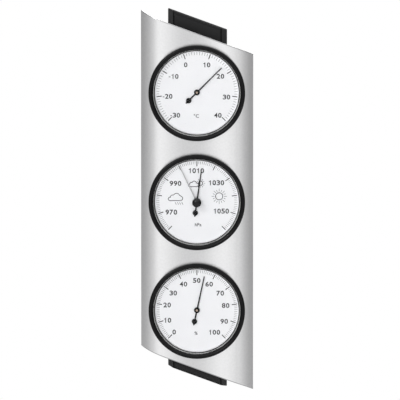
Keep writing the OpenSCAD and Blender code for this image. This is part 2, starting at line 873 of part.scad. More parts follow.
module hygrometer_adjuster() {
  flange_back = floor_front + end_play;
  flange_front_face = flange_back + adjuster_flange_thickness;
  color("goldenrod") dial_space(dial_rises[2]) difference() {
    union() {
      disc(adjuster_radius, driven_back, flange_back + slip);
      disc(adjuster_flange, flange_back, flange_front_face);
      bar([0, 0], hygro_post_place, 2 * post_radius, flange_back, flange_front_face);
      translate(hygro_post_place)
        disc(post_radius, flange_back, spiral_back + hygro_height + post_overhang);
    }
    disc(arbor_radius + running_gap, frame_depth + 0.4, floor_front + 2);
    driver_slot();
  }
}

module hygrometer_arbor() {
  color("goldenrod") dial_space(dial_rises[2])
    arbor(frame_depth + 0.5, floor_front + adjuster_flange_thickness + 3 * end_play,
      front_bush_back - end_play);
}

// Barometer movement

module movement_plate() {
  lug_half = 2;
  lug_thickness = 1.2;
  seat_radius = 5;
  color("silver") dial_space(dial_rises[1]) difference() {
    union() {
      disc(movement_plate_radius, floor_front, movement_front);
      translate(capsule_place) disc(seat_radius, floor_front, capsule_back);
      for (x = [-lug_reach, lug_reach])
        translate([x - lug_thickness / 2, -shaft_drop - lug_half, floor_front])
          cube([lug_thickness, 2 * lug_half, shaft_level + 1.2 - floor_front]);
    }
    for (place = case_screw_places) translate(place)
      disc(boss_radius + 4 * hole_gap, floor_front - cut, movement_front + cut);
    for (place = concat(movement_screw_places, [cock_screw_place])) translate(place)
      disc(small_screw_radius + hole_gap, floor_front - cut, movement_front + cut);
    translate(sector_place)
      disc(sector_pivot_radius + running_gap, floor_front - cut, movement_front + cut);
    translate(capsule_place) disc(set_stem_radius + slip, floor_front - cut, capsule_back + cut);
    translate([-lug_reach - lug_half, -shaft_drop, shaft_level]) rotate([0, 90, 0])
      cylinder(r = shaft_radius + running_gap, h = 2 * (lug_reach + lug_half));
  }
}

// Half of the capsule's thickness at a radius: a shallow ripple with a thinner rim.
function ripple(r) = let (part = r / capsule_radius) capsule_thickness / 2 - 0.25
  - 8 * max(0, part - 0.85) - 0.25 * (1 - cos(360 * 3.4 * part));

module aneroid_capsule() {
  steps = 24;
  seat = 3;
  rim_half = 0.3;
  middle = capsule_back + capsule_thickness / 2;
  radii = [for (i = [0:steps]) seat + (capsule_radius - seat) * i / steps];
  color("darkkhaki") dial_space(dial_rises[1]) translate(capsule_place) rotate_extrude()
    polygon(concat(
      [[0, capsule_back], [seat, capsule_back]],
      [for (r = radii) [r, middle - max(rim_half, ripple(r))]],
      [for (i = [steps:-1:0]) [radii[i], middle + max(rim_half, ripple(radii[i]))]],
      [[seat, capsule_front], [0, capsule_front]]));
}

module capsule_post() {
  color("silver") dial_space(dial_rises[1]) translate(capsule_place) {
    disc(capsule_post_radius, capsule_front + slip, post_tip - post_cone);
    translate([0, 0, post_tip - post_cone - slip])
      cylinder(r1 = capsule_post_radius, r2 = capsule_post_radius / 4, h = post_cone + slip);
  }
}

module rocking_shaft() {
  pin_x = -pivot_shift + pin_arm;
  arm_width = 1.6;
  arm_back = movement_front + 1.1;
  arm_end = short_arm + arm_width / 2;
  color("silver") dial_space(dial_rises[1]) {
    translate([pin_x - arm_width / 2, -shaft_drop, shaft_level]) rotate([0, 90, 0])
      cylinder(r = shaft_radius, h = lug_reach + 1.2 - pin_x + arm_width / 2);
    translate([pin_x - arm_width / 2, -shaft_drop - arm_thickness / 2, arm_back])
      cube([arm_width, arm_thickness, shaft_level - arm_back]);
    translate([capsule_shift - arm_width / 2, -shaft_drop - arm_end, shaft_level - shaft_arm_half])
      cube([arm_width, arm_end, 2 * shaft_arm_half]);
  }
}

// Gear teeth

function involute(a) = tan(a) * 180 / PI - a;
// Half the angle of a tooth at a distance from the wheel's centre.
function tooth_half(teeth, r) = 90 / teeth + involute(pressure_angle)
  - involute(acos(min(1, gear_module * teeth / 2 * cos(pressure_angle) / r)))
  - tooth_play / gear_module / teeth * 360 / PI;
function tooth_root(teeth) = gear_module * (teeth / 2 - 1.15);

// One tooth that points along +x.
module tooth(teeth) {
  pitch = gear_module * teeth / 2;
  root = tooth_root(teeth);
  tip = pitch + 0.8 * gear_module;
  base = max(root, pitch * cos(pressure_angle));
  radii = [for (i = [0:4]) base + (tip - base) * i / 4];
  side = function(r, s) r * [cos(s * tooth_half(teeth, r)), sin(s * tooth_half(teeth, r))];
  foot = function(s) (root - 0.1)
    * [cos(s * tooth_half(teeth, base)), sin(s * tooth_half(teeth, base))];
  polygon(concat([foot(-1)], [for (r = radii) side(r, -1)],
    [for (i = [4:-1:0]) side(radii[i], 1)], [foot(1)]));
}

module gear_sector() {
  step = 360 / sector_teeth;
  half_count = 7;
  root = tooth_root(sector_teeth);
  rim = 2.6;
  spoke = 1.8;
  half = (half_count + 0.6) * step;
  color("goldenrod") dial_space(dial_rises[1]) translate(sector_place) translate([0, 0, sector_back])
    rotate(sector_heading) linear_extrude(sector_thickness) difference() {
      union() {
        for (i = [-half_count:half_count]) rotate(i * step) tooth(sector_teeth);
        intersection() {
          difference() {
            circle(r = root);
            circle(r = root - rim);
          }
          polygon([[0, 0], 2 * root * [cos(half), -sin(half)], 2 * root * [1.3, 0],
            2 * root * [cos(half), sin(half)]]);
        }
        for (side = [-1, 1]) rotate(side * half * 0.8) translate([0, -spoke / 2])
          square([root - rim / 2, spoke]);
        circle(r = arbor_shoulder + 1.5);
      }
      circle(r = arbor_shoulder + slip);
    }
}

module sector_arbor() {
  color("silver") dial_space(dial_rises[1]) translate(sector_place) {
    disc(sector_pivot_radius, floor_front + end_play, bridge_front - end_play);
    disc(arbor_shoulder, lever_back, bridge_back - end_play);
    bar([0, 0], [pin_arm, 0], 3.25 * pin_radius, lever_back, lever_back + 0.7);
    translate([pin_arm, 0]) disc(pin_radius, lever_back, lever_back + 1.55);
  }
}

module pinion_arbor() {
  color("goldenrod") dial_space(dial_rises[1]) {
    disc(arbor_radius, cock_front - cock_thickness - 0.2, hub_front + 0.2);
    disc(pinion_hub, cock_front + bush_flange + end_play, pinion_back + slip);
    disc(pinion_hub, pinion_back + pinion_width - slip, front_bush_back - end_play);
    translate([0, 0, pinion_back]) linear_extrude(pinion_width)
      rotate(180 + sector_heading) {
        for (i = [0:pinion_teeth - 1]) rotate((i + 0.5) * 360 / pinion_teeth) tooth(pinion_teeth);
        circle(r = tooth_root(pinion_teeth));
      }
  }
}

module rear_cock() {
  half = 3;
  color("silver") dial_space(dial_rises[1]) difference() {
    union() {
      translate([-half, -half, cock_front - cock_thickness])
        cube([2 * half, half + cock_wall_reach + cock_thickness, cock_thickness]);
      translate([-half, cock_wall_reach, movement_front])
        cube([2 * half, cock_thickness, cock_front - movement_front]);
      translate([-half, cock_wall_reach, movement_front])
        cube([2 * half, cock_foot, cock_thickness]);
    }
    disc(front_bush_radius, cock_front - cock_thickness - cut, cock_front + cut);
    translate(cock_screw_place)
      disc(small_screw_radius + hole_gap, movement_front - cut, movement_front + cock_thickness + cut);
  }
}

module bridge_pillars() {
  color("goldenrod") dial_space(dial_rises[1]) for (place = pillar_places) translate(place)
    difference() {
      disc(pillar_radius, movement_front, bridge_back);
      disc(pillar_screw_radius, bridge_back - pillar_screw_depth, bridge_back + cut);
    }
}

module pillar_screws() {
  color("silver") dial_space(dial_rises[1]) for (place = pillar_places) translate(place)
    screw(pillar_screw_radius, 1.6, 0.8, bridge_front,
      bridge_thickness + pillar_screw_depth - 0.2, true);
}

module movement_bridge() {
  top = pillar_places[0][1];
  strap = 5;
  eye = strap / 2 + 0.8;
  stud = [0, hairspring_radius + 0.65];
  color("silver") dial_space(dial_rises[1]) difference() {
    union() {
      strip(pillar_places[0], pillar_places[1], strap, bridge_back, bridge_front);
      strip([0, top], [0, 0], strap + 1, bridge_back, bridge_front);
      strip([0, 0], pillar_places[2], strap, bridge_back, bridge_front);
      strip([0, 0], sector_place, strap - 0.5, bridge_back, bridge_front);
      disc(eye + 0.6, bridge_back, bridge_front);
      for (place = concat(pillar_places, [sector_place])) translate(place)
        disc(eye, bridge_back, bridge_front);
      translate(stud) disc(0.5, hairspring_back, bridge_back + bridge_thickness / 2);
    }
    disc(front_bush_radius, bridge_back - cut, bridge_front + cut);
    translate(sector_place)
      disc(sector_pivot_radius + running_gap, bridge_back - cut, bridge_front + cut);
    for (place = pillar_places) translate(place)
      disc(pillar_screw_radius + hole_gap, bridge_back - cut, bridge_front + cut);
  }
}

module hairspring() {
  thickness = 0.15;
  color("steelblue") dial_space(dial_rises[1]) translate([0, 0, hairspring_back])
    linear_extrude(hairspring_height)
      spiral(pinion_hub + thickness / 2 + slip, hairspring_radius, 5.25, thickness);
}

module adjusting_screw() {
  color("silver") dial_space(dial_rises[1]) translate(capsule_place) difference() {
    union() {
      disc(adjuster_radius, driven_back, floor_front - end_play);
      disc(set_stem_radius - running_gap, driven_back, capsule_back - end_play / 2);
    }
    driver_slot();
  }
}

module set_hand() {
  hub = 2.8;
  root = 1.2;
  tip = 0.7;
  turn = scale_angle(set_reading, barometer_scale);
  color("gray") dial_space(dial_rises[1]) rotate(-turn) difference() {
    union() {
      translate([0, 0, set_hand_back]) linear_extrude(set_hand_thickness)
        polygon([[-root / 2, 0], [root / 2, 0], [tip / 2, set_hand_length], [-tip / 2, set_hand_length]]);
      disc(hub, set_hand_back, seal_front - glass_clearance);
    }
    disc(set_stem_radius + slip, set_hand_back - cut, seal_front + cut);
  }
}

module set_knob() {
  knob_back = glass_front + glass_clearance;
  rim = set_knob_height * 0.45;
  color([0.08, 0.08, 0.08]) dial_space(dial_rises[1]) {
    disc(set_stem_radius, set_hand_back, knob_back + slip);
    disc(set_knob_radius, knob_back, knob_back + rim);
    intersection() {
      disc(set_knob_radius, knob_back + rim - slip, knob_back + set_knob_height);
      dome = set_knob_height - rim;
      ball = (pow(set_knob_radius, 2) + pow(dome, 2)) / (2 * dome);
      translate([0, 0, knob_back + set_knob_height - ball]) sphere(r = ball);
    }
  }
}

front_plate();
frame_front();
frame_sides();
frame_ends();
hanger_bridge();
plate_studs();
stand_off_sleeves();
stud_washers();
stud_nuts();
case_screws();
movement_screws();
pivot_bushes();
thermometer_case();
thermometer_bezel();
thermometer_glass();
thermometer_glass_seal();
thermometer_spacer_ring();
thermometer_dial();
thermometer_bridge();
bimetal_spiral();
spiral_post();
thermometer_arbor();
thermometer_pointer();
barometer_case();
barometer_bezel();
barometer_glass();
barometer_glass_seal();
barometer_spacer_ring();
barometer_dial();
movement_plate();
aneroid_capsule();
capsule_post();
rocking_shaft();
gear_sector();
sector_arbor();
pinion_arbor();
rear_cock();
movement_bridge();
bridge_pillars();
pillar_screws();
hairspring();
adjusting_screw();
barometer_pointer();
set_hand();
set_knob();
hygrometer_case();
hygrometer_bezel();
hygrometer_glass();
hygrometer_glass_seal();
hygrometer_spacer_ring();
hygrometer_dial();
hygrometer_bridge();
hygro_spiral();
hygrometer_adjuster();
hygrometer_arbor();
hygrometer_pointer();
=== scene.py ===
"""Looks of a wall weather station with three round instruments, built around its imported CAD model."""

import json
import logging
import math
from dataclasses import dataclass
from enum import Enum
from typing import Any, Callable, Sequence

import bmesh
import bpy
import numpy as np
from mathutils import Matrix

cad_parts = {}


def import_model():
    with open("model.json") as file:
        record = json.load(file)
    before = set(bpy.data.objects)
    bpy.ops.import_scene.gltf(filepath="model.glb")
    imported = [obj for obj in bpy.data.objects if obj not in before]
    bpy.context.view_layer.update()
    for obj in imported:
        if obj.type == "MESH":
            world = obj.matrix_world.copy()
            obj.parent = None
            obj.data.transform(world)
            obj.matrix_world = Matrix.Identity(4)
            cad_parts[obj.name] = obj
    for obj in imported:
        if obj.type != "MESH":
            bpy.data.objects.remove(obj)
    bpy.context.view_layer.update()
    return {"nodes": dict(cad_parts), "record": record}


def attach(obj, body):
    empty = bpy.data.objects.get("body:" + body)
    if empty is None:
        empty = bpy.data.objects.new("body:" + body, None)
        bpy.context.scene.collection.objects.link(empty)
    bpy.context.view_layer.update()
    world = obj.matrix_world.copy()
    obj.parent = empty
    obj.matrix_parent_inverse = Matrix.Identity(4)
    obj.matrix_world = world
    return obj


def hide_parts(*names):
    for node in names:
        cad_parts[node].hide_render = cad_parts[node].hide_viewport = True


LOG = logging.getLogger("weather_station")
MM = 0.001
# Gap between a dial and a print on it, and the print's thickness, in millimetres.
PRINT_GAP = 0.01
PRINT_THICKNESS = 0.04
# A scale's whole angle, and the angle over which an edge stays sharp, in degrees.
SWEEP = 270.0
SHARP = 35.0
# How near doubles are to each other, and the length of an edge that is dissolved, in metres.
DOUBLES_WITHIN = 1e-7
NO_LENGTH = 1e-8
WHITE = (1.0, 1.0, 1.0)

Colour = tuple[float, float, float]
Point = tuple[float, float, float]
Place = tuple[float, float]


class Body(Enum):
    """The CAD bodies that a new piece can ride on."""

    STATION = "station"
    SET_HAND = "set_hand_and_knob"
    TEMPERATURE = "temperature_hand"
    PRESSURE = "pressure_hand"
    HUMIDITY = "humidity_hand"


class Grain(Enum):
    """The direction of a metal's brush marks, as the stretch of its noise along X, Y and Z."""

    ALONG_Y = (1.0, 0.02, 1.0)
    ALONG_Z = (1.0, 1.0, 0.02)
    NONE = (1.0, 1.0, 1.0)


class Target(Enum):
    """What a node tree belongs to."""

    MATERIAL = "Material"
    WORLD = "World"


# Shader maths


def math_method(operation: str, turned: bool = False) -> Callable[..., "Signal"]:
    """A method of Signal that adds one Math node.

    Args:
        operation: The node's operation.
        turned: Whether the signal itself is the last operand, as in 1 - mask.

    Returns:
        The method.
    """

    def method(self: "Signal", *others: Any) -> "Signal":
        """The node's result for this signal and the other operands."""
        operands = (*others, self) if turned else (self, *others)
        return Signal(self.graph, self.graph.node("Math", {"operation": operation}, *operands))

    return method


class Signal:
    """A socket that carries a number, for use in Python expressions."""

    __add__, __radd__ = math_method("ADD"), math_method("ADD", True)
    __sub__, __rsub__ = math_method("SUBTRACT"), math_method("SUBTRACT", True)
    __mul__, __rmul__ = math_method("MULTIPLY"), math_method("MULTIPLY", True)
    __truediv__, __rtruediv__ = math_method("DIVIDE"), math_method("DIVIDE", True)
    __pow__, __rpow__ = math_method("POWER"), math_method("POWER", True)
    __abs__, root, wave, arcsine, top = map(math_method, ("ABSOLUTE", "SQRT", "SINE", "ARCSINE", "MAXIMUM"))

    def __init__(self, graph: "Graph", socket: Any) -> None:
        """Keeps the graph and its output socket."""
        self.graph = graph
        self.socket = socket

    def __neg__(self) -> "Signal":
        """This with its sign turned."""
        return self * -1.0

    def ramp(self, low: float, high: float) -> "Signal":
        """A smooth step from 0 at low to 1 at high.

        Args:
            low: The value that gives 0.
            high: The value that gives 1.

        Returns:
            The stepped signal.
        """
        settings = {"interpolation_type": "SMOOTHSTEP"}
        return Signal(self.graph, self.graph.node("MapRange", settings, self, low, high, 0.0, 1.0))


class Graph:
    """The node tree of one material or of the world."""

    def __init__(self, name: str, target: Target = Target.MATERIAL) -> None:
        """Makes an empty material or world.

        Args:
            name: Its name.
            target: Which of the two it is.
        """
        self.target = target
        self.owner = (bpy.data.materials if target is Target.MATERIAL else bpy.data.worlds).new(name)
        self.owner.use_nodes = True
        self.tree = self.owner.node_tree
        self.tree.nodes.clear()

    def node(self, kind: str, settings: dict[str, Any], *values: Any, out: int | str = 0, **named: Any) -> Any:
        """Adds any node: settings first, then the values or links of its sockets.

        Args:
            kind: The node's type without its ShaderNode prefix.
            settings: The node's own properties; "stops" holds a ramp's places and colours.
            values: What goes to the first input sockets, in order; None leaves one alone.
            out: The name or number of the output socket to return.
            named: What goes to sockets by name, with underscores for spaces.

        Returns:
            The chosen output socket, or the node if it has none.
        """
        made = self.tree.nodes.new("ShaderNode" + kind)
        for key, value in settings.items():
            if key == "stops":
                self._set_stops(made.color_ramp, value)
            else:
                setattr(made, key, value)
        for index, value in enumerate(values):
            self._feed(made.inputs[index], value)
        for key, value in named.items():
            self._feed(made.inputs[key.replace("_", " ")], value)
        return made.outputs[out] if made.outputs else made

    def _set_stops(self, ramp: Any, stops: Sequence[tuple[float, Colour]]) -> None:
        """Gives a colour ramp its stops.

        Args:
            ramp: The node's ramp.
            stops: Each stop's place and colour.
        """
        while len(ramp.elements) < len(stops):
            ramp.elements.new(0.5)
        for element, (place, colour) in zip(ramp.elements, stops):
            element.position = place
            element.color = (*colour, 1.0)

    def _feed(self, socket: Any, value: Any) -> None:
        """Links or sets one input socket.

        Args:
            socket: The input socket.
            value: A signal, an output socket, a number, a colour or None.
        """
        if value is None:
            return
        if isinstance(value, Signal):
            value = value.socket
        if isinstance(value, bpy.types.NodeSocket):
            self.tree.links.new(value, socket)
        elif isinstance(value, tuple) and socket.type == "RGBA":
            socket.default_value = (*value, 1.0)
        else:
            socket.default_value = value

    def place(self, centre: Point = (0.0, 0.0, 0.0), stretch: Point = (1.0, 1.0, 1.0)) -> Any:
        """Object coordinates, moved so that centre is the origin and then stretched.

        Args:
            centre: The point that becomes the origin, in metres.
            stretch: Factors along the axes.

        Returns:
            The vector socket.
        """
        coordinates = self.node("TexCoord", {}, out="Object")
        moved = self.node("VectorMath", {"operation": "SUBTRACT"}, coordinates, centre)
        return self.node("Mapping", {}, moved, Scale=stretch)

    def noise(self, scale: float, detail: float = 2.0, rough: float = 0.5, vector: Any = None) -> Signal:
        """Noise between 0 and 1.

        Args:
            scale: Waves per metre.
            detail: Octaves.
            rough: Share of the finer octaves.
            vector: The coordinates; None stands for the plain object coordinates.

        Returns:
            The noise.
        """
        place = self.place() if vector is None else vector
        return Signal(self, self.node("TexNoise", {}, Vector=place, Scale=scale, Detail=detail, Roughness=rough))

    def brush_marks(self, grain: Grain, fine: float, broad: float, fine_share: float) -> Signal:
        """Fine and broad brush marks along the grain, between 0 and 1.

        Args:
            grain: Their direction.
            fine: Fine marks in a metre across the grain.
            broad: Broad marks in a metre across the grain.
            fine_share: Share of the fine ones.

        Returns:
            The marks.
        """
        lines = self.place(stretch=grain.value)
        fine_marks = self.noise(fine, vector=lines)
        return fine_marks * fine_share + self.noise(broad, 3.0, vector=lines) * (1.0 - fine_share)

    def split(self, vector: Any) -> list[Signal]:
        """The three parts of a vector."""
        parts = self.node("SeparateXYZ", {}, vector).node
        return [Signal(self, output) for output in parts.outputs]

    def blend(self, share: Any, first: Any, second: Any) -> Any:
        """A colour between two colours.

        Args:
            share: 0 gives the first and 1 the second.
            first: A colour or a colour socket.
            second: A colour or a colour socket.

        Returns:
            The colour socket.
        """
        number_and_vector_sockets = [None] * 5
        return self.node("Mix", {"data_type": "RGBA"}, share, *number_and_vector_sockets, first, second, out=2)

    def rays(self, *kinds: str) -> Signal:
        """1 for the rays of the named kinds and 0 for the others.

        Args:
            kinds: The kinds, as in "Camera" and "Glossy".

        Returns:
            The mask.
        """
        made = self.node("LightPath", {}).node
        first, *others = [Signal(self, made.outputs[f"Is {kind} Ray"]) for kind in kinds]
        for other in others:
            first = first.top(other)
        return first

    def finish(self, shade: Any, rough: Any, height: Any = None, depth: float = 0.0, **more: Any) -> Any:
        """Ends the material in a Principled shader.

        Args:
            shade: Its colour.
            rough: Its roughness.
            height: The height of its skin, 0 to 1; None leaves it smooth.
            depth: The height of 1, in metres.
            more: Its other sockets by name, with underscores for spaces.

        Returns:
            The material.
        """
        normal = None if height is None else self.node("Bump", {}, Height=height, Distance=depth, Strength=1.0)
        return self.close(self.node("BsdfPrincipled", {}, Base_Color=shade, Roughness=rough, Normal=normal, **more))

    def close(self, shader: Any) -> Any:
        """Links a shader to the output and returns the material or world."""
        self.node("Output" + self.target.value, {}, shader)
        return self.owner


# Finishes


@dataclass(frozen=True)
class BrushedMetal:
    """Metal with fine brush marks, faint cloudy patches and uneven gloss."""

    name: str
    colour: Colour
    roughness: float
    marks: float
    contrast: float
    grain: Grain = Grain.NONE
    depth: float = 0.000004

    def material(self) -> bpy.types.Material:
        """Builds the material.

        Returns:
            The material.
        """
        graph = Graph(self.name)
        streak = graph.brush_marks(self.grain, self.marks * 3.0, self.marks * 0.35, 0.55)
        cloud = graph.noise(14.0)
        dark = tuple(c * (1.0 - self.contrast) for c in self.colour)
        light = tuple(min(1.0, c * (1.0 + self.contrast)) for c in self.colour)
        shade = graph.blend(streak.ramp(0.3, 0.7), dark, light)
        rough = self.roughness + (streak - 0.5) * 0.12 + (cloud - 0.5) * 0.05
        return graph.finish(shade, rough, streak, self.depth, Metallic=1.0)


@dataclass(frozen=True)
class PlateSteel:
    """The front sheet: upright brush marks, broad upright bands of painted sheen, a painted highlight on the bends and
    painted shade along the slanted ends.
    """

    name: str = "brushed_plate"
    # The colours between which the painted sheen bands and highlight lie, mixed with brush marks, patches and grit.
    dark: Colour = (0.60, 0.60, 0.605)
    light: Colour = (0.90, 0.90, 0.905)
    # Colour of the painted shade along the slanted ends.
    painted_end_shade: Colour = (0.4, 0.4, 0.405)
    band_pitch: float = 0.057
    band_middle: float = 0.0235
    band_power: float = 1.4
    # Where the painted highlight on the bends starts, and how wide its step is.
    bend_highlight_start: float = 0.029
    bend_highlight_width: float = 0.012
    roughness: float = 0.3
    marks: float = 900.0
    depth: float = 0.000003
    flat: float = 0.0276
    bend: float = 0.027
    slope: float = 0.364
    middle: float = -0.14
    reach: float = 0.151
    strip: Place = (0.0011, 0.0005)

    def end_shade_share(self, graph: Graph) -> Signal:
        """How far a point is on the strip of painted shade along a slanted end.

        With s the way along the sheet (flat + bend asin((|x| - flat) / bend) past the flat part), an
        end lies where |z - middle + slope s| is the reach.

        Args:
            graph: The node tree.

        Returns:
            1 on the strip and 0 elsewhere.
        """
        x, _, z = graph.split(graph.place())
        far = abs(x)
        past = (far - self.flat).top(0.0)
        along = (far - past + (past / self.bend).arcsine() * self.bend) * (x / (far + 1e-6))
        start, full = self.strip
        return abs(z - self.middle + along * self.slope).ramp(self.reach - start, self.reach - full)

    def material(self) -> bpy.types.Material:
        """Builds the material: a band of painted sheen is the cosine of the distance from the band's middle.

        Returns:
            The material.
        """
        graph = Graph(self.name)
        x, _, _ = graph.split(graph.place(centre=(self.band_middle, 0.0, 0.0)))
        # Painted sheen: broad upright light and dark bands in the colour.
        band = ((x * (2.0 * math.pi / self.band_pitch) + math.pi / 2.0).wave() * 0.5 + 0.5) ** self.band_power
        across, _, _ = graph.split(graph.place())
        # Painted highlight: the bends are as light as the bands' lightest.
        band = band.top(abs(across).ramp(self.bend_highlight_start, self.bend_highlight_start + self.bend_highlight_width))
        streak = graph.brush_marks(Grain.ALONG_Z, self.marks * 3.0, self.marks * 0.3, 0.5)
        cloud = graph.noise(11.0)
        grit = graph.noise(620.0)
        # The colour's share is mostly the painted sheen; the rest is brush marks, patches and grit.
        share = band * 0.72 + streak * 0.09 + cloud * 0.06 + grit.ramp(0.3, 0.7) * 0.13
        shade = graph.blend(share, self.dark, self.light)
        # Painted shade: a darker strip along each slanted end.
        shade = graph.blend(self.end_shade_share(graph), shade, self.painted_end_shade)
        rough = self.roughness + (streak - 0.5) * 0.08 + (cloud - 0.5) * 0.04
        return graph.finish(shade, rough, streak, self.depth, Metallic=1.0)


@dataclass(frozen=True)
class TurnedMetal:
    """Metal with tool marks round a dial's axis and darker old patches."""

    name: str
    colour: Colour
    tarnish: Colour
    roughness: float = 0.28
    centre: Point = (0.0, 0.0, -0.14)
    marks: float = 24000.0
    depth: float = 0.000006

    def material(self) -> bpy.types.Material:
        """Builds the material: rings come from the sine of the distance to the axis.

        Returns:
            The material.
        """
        graph = Graph(self.name)
        x, _, z = graph.split(graph.place(centre=self.centre))
        rings = ((x * x + z * z).root() * self.marks).wave() * 0.5 + 0.5
        spots = graph.noise(420.0, 4.0, 0.6)
        shade = graph.blend(spots.ramp(0.45, 0.8), self.colour, self.tarnish)
        rough = self.roughness + spots * 0.14
        return graph.finish(shade, rough, rings * 0.5 + spots * 0.5, self.depth, Metallic=1.0)


@dataclass(frozen=True)
class Paint:
    """Paint with a light orange-peel skin, dust and uneven gloss."""

    name: str
    colour: Colour
    dust: Colour
    roughness: float = 0.42
    peel: float = 900.0
    depth: float = 0.00001
    gloss: float = 0.25

    def material(self) -> bpy.types.Material:
        """Builds the material.

        Returns:
            The material.
        """
        graph = Graph(self.name)
        skin = graph.noise(self.peel)
        patch = graph.noise(60.0, 4.0, 0.6)
        shade = graph.blend(patch.ramp(0.42, 0.75) * 0.6, self.colour, self.dust)
        rough = self.roughness + (patch - 0.5) * 0.14 + (skin - 0.5) * 0.05
        shade, rough = self.painted_shading_and_matt_ends(graph, shade, rough)
        return graph.finish(shade, rough, skin, self.depth, Specular_IOR_Level=self.gloss)

    def painted_shading_and_matt_ends(self, graph: Graph, shade: Any, rough: Any) -> tuple[Any, Any]:
        """Colour and roughness with painted light and shade and matt places added: unchanged, for plain paint."""
        return shade, rough


@dataclass(frozen=True)
class FoldedPaint(Paint):
    """Paint on the folded frame: painted light on the leaning sides, painted shade in the creases, matt on the end
    walls.

    An end is where |z - middle + x tan(slant)| comes near its reach.
    """

    crease: float = 0.0212
    crease_core: float = 0.0003
    crease_half: float = 0.0007
    side_light_start: float = 0.0006
    # Colour of the painted light on the leaning sides.
    painted_side_light: Colour = (0.033, 0.033, 0.0335)
    shadow: Colour = (0.002, 0.002, 0.002)
    slant: float = 20.0
    middle: float = -0.14045
    reach: float = 0.16085
    strip: Place = (0.0006, 0.0002)

    def painted_shading_and_matt_ends(self, graph: Graph, shade: Any, rough: Any) -> tuple[Any, Any]:
        """Adds the painted light on the leaning sides, the painted shade in the creases and the matt end walls.

        Args:
            graph: The material's graph.
            shade: The plain paint's colour.
            rough: The plain paint's roughness.

        Returns:
            Colour and roughness.
        """
        x, _, z = graph.split(graph.place())
        side = abs(x)
        # Painted light: the leaning sides are lighter than the front.
        shade = graph.blend(side.ramp(self.crease, self.crease + self.side_light_start), shade, self.painted_side_light)
        # Painted shade: a dark line along each crease.
        core, half = self.crease_core, self.crease_half
        rise = side.ramp(self.crease - half, self.crease - core)
        shade = graph.blend(rise - side.ramp(self.crease + core, self.crease + half), shade, self.shadow)
        drop = abs(z - self.middle + x * math.tan(math.radians(self.slant)))
        start, full = self.strip
        return shade, rough + (1.0 - rough) * drop.ramp(self.reach - start, self.reach - full)


@dataclass(frozen=True)
class GlossBlack:
    """Moulded or lacquered glossy black with the faintest waves and fine dust."""

    name: str
    colour: Colour = (0.0045, 0.0045, 0.005)
    dust: Colour = (0.009, 0.009, 0.0095)
    roughness: float = 0.2
    gloss: float = 0.13
    depth: float = 0.00002

    def material(self) -> bpy.types.Material:
        """Builds the material.

        Returns:
            The material.
        """
        graph = Graph(self.name)
        waves, specks = graph.noise(120.0), graph.noise(2600.0)
        shade = graph.blend(specks.ramp(0.6, 0.8), self.colour, self.dust)
        rough = self.roughness + specks.ramp(0.55, 0.8) * 0.08 + (waves - 0.5) * 0.04
        return graph.finish(shade, rough, waves, self.depth, Specular_IOR_Level=self.gloss)


@dataclass(frozen=True)
class Enamel:
    """White dial paint: a faint cool tint that varies, and a fine satin skin."""

    name: str
    colour: Colour
    shade: Colour
    roughness: float = 0.42
    gloss: float = 0.2
    depth: float = 0.000003

    def material(self) -> bpy.types.Material:
        """Builds the material.

        Returns:
            The material.
        """
        graph = Graph(self.name)
        cloud, skin = graph.noise(35.0, 3.0), graph.noise(2200.0)
        tint = graph.blend(cloud.ramp(0.3, 0.7), self.colour, self.shade)
        rough = self.roughness + (skin - 0.5) * 0.1
        return graph.finish(tint, rough, skin, self.depth, Specular_IOR_Level=self.gloss)


@dataclass(frozen=True)
class Ink:
    """Printing ink: a dark colour that lies unevenly."""

    name: str
    colour: Colour
    thin: Colour
    roughness: float = 0.4
    gloss: float = 0.2

    def material(self) -> bpy.types.Material:
        """Builds the material.

        Returns:
            The material.
        """
        graph = Graph(self.name)
        spread = graph.noise(3200.0, 3.0)
        tint = graph.blend(spread.ramp(0.35, 0.75), self.colour, self.thin)
        return graph.finish(tint, self.roughness + (spread - 0.5) * 0.12, Specular_IOR_Level=self.gloss)


@dataclass(frozen=True)
class SoftSeal:
    """A pale, slightly waxy seal."""

    name: str
    colour: Colour
    dimming: float = 0.88
    roughness: float = 0.5
    depth: float = 0.00001

    def material(self) -> bpy.types.Material:
        """Builds the material.

        Returns:
            The material.
        """
        graph = Graph(self.name)
        cloud = graph.noise(300.0, 3.0)
        dark = tuple(c * self.dimming for c in self.colour)
        tint = graph.blend(cloud, dark, self.colour)
        return graph.finish(tint, self.roughness + (cloud - 0.5) * 0.1, cloud, self.depth)


@dataclass(frozen=True)
class TwoToneRing:
    """A moulded ring with a black rim under the glass and a pale wall down to the dial."""

    name: str
    rim: Colour
    wall: Colour
    level: float
    fade: float = 0.0003
    roughness: float = 0.45
    gloss: float = 0.15
    depth: float = 0.000006

    def material(self) -> bpy.types.Material:
        """Builds the material: it is black from the level, a distance from the wall, forwards.

        Returns:
            The material.
        """
        graph = Graph(self.name)
        _, y, _ = graph.split(graph.place())
        skin = graph.noise(1400.0)
        shade = graph.blend((-y).ramp(self.level - self.fade, self.level), self.wall, self.rim)
        rough = self.roughness + (skin - 0.5) * 0.1
        return graph.finish(shade, rough, skin, self.depth, Specular_IOR_Level=self.gloss)


@dataclass(frozen=True)
class ClearGlass:
    """Flat coated glass: it mirrors a little by Fresnel and lets the rest through."""

    name: str
    index: float = 1.3
    share: float = 0.35
    dust: float = 0.003
    tint: Colour = (0.93, 0.97, 0.98)
    roughness: float = 0.03

    def material(self) -> bpy.types.Material:
        """Builds the material: alpha is part of the Fresnel share plus a trace of dust.

        Returns:
            The material.
        """
        graph = Graph(self.name)
        dust = graph.noise(90.0, 4.0, 0.6)
        mirror = Signal(graph, graph.node("Fresnel", {}, IOR=self.index)) * self.share
        alpha = mirror + dust.ramp(0.5, 0.9) * self.dust
        return graph.finish(graph.blend(dust, self.tint, WHITE), self.roughness, Metallic=1.0, Alpha=alpha)


# Surfaces


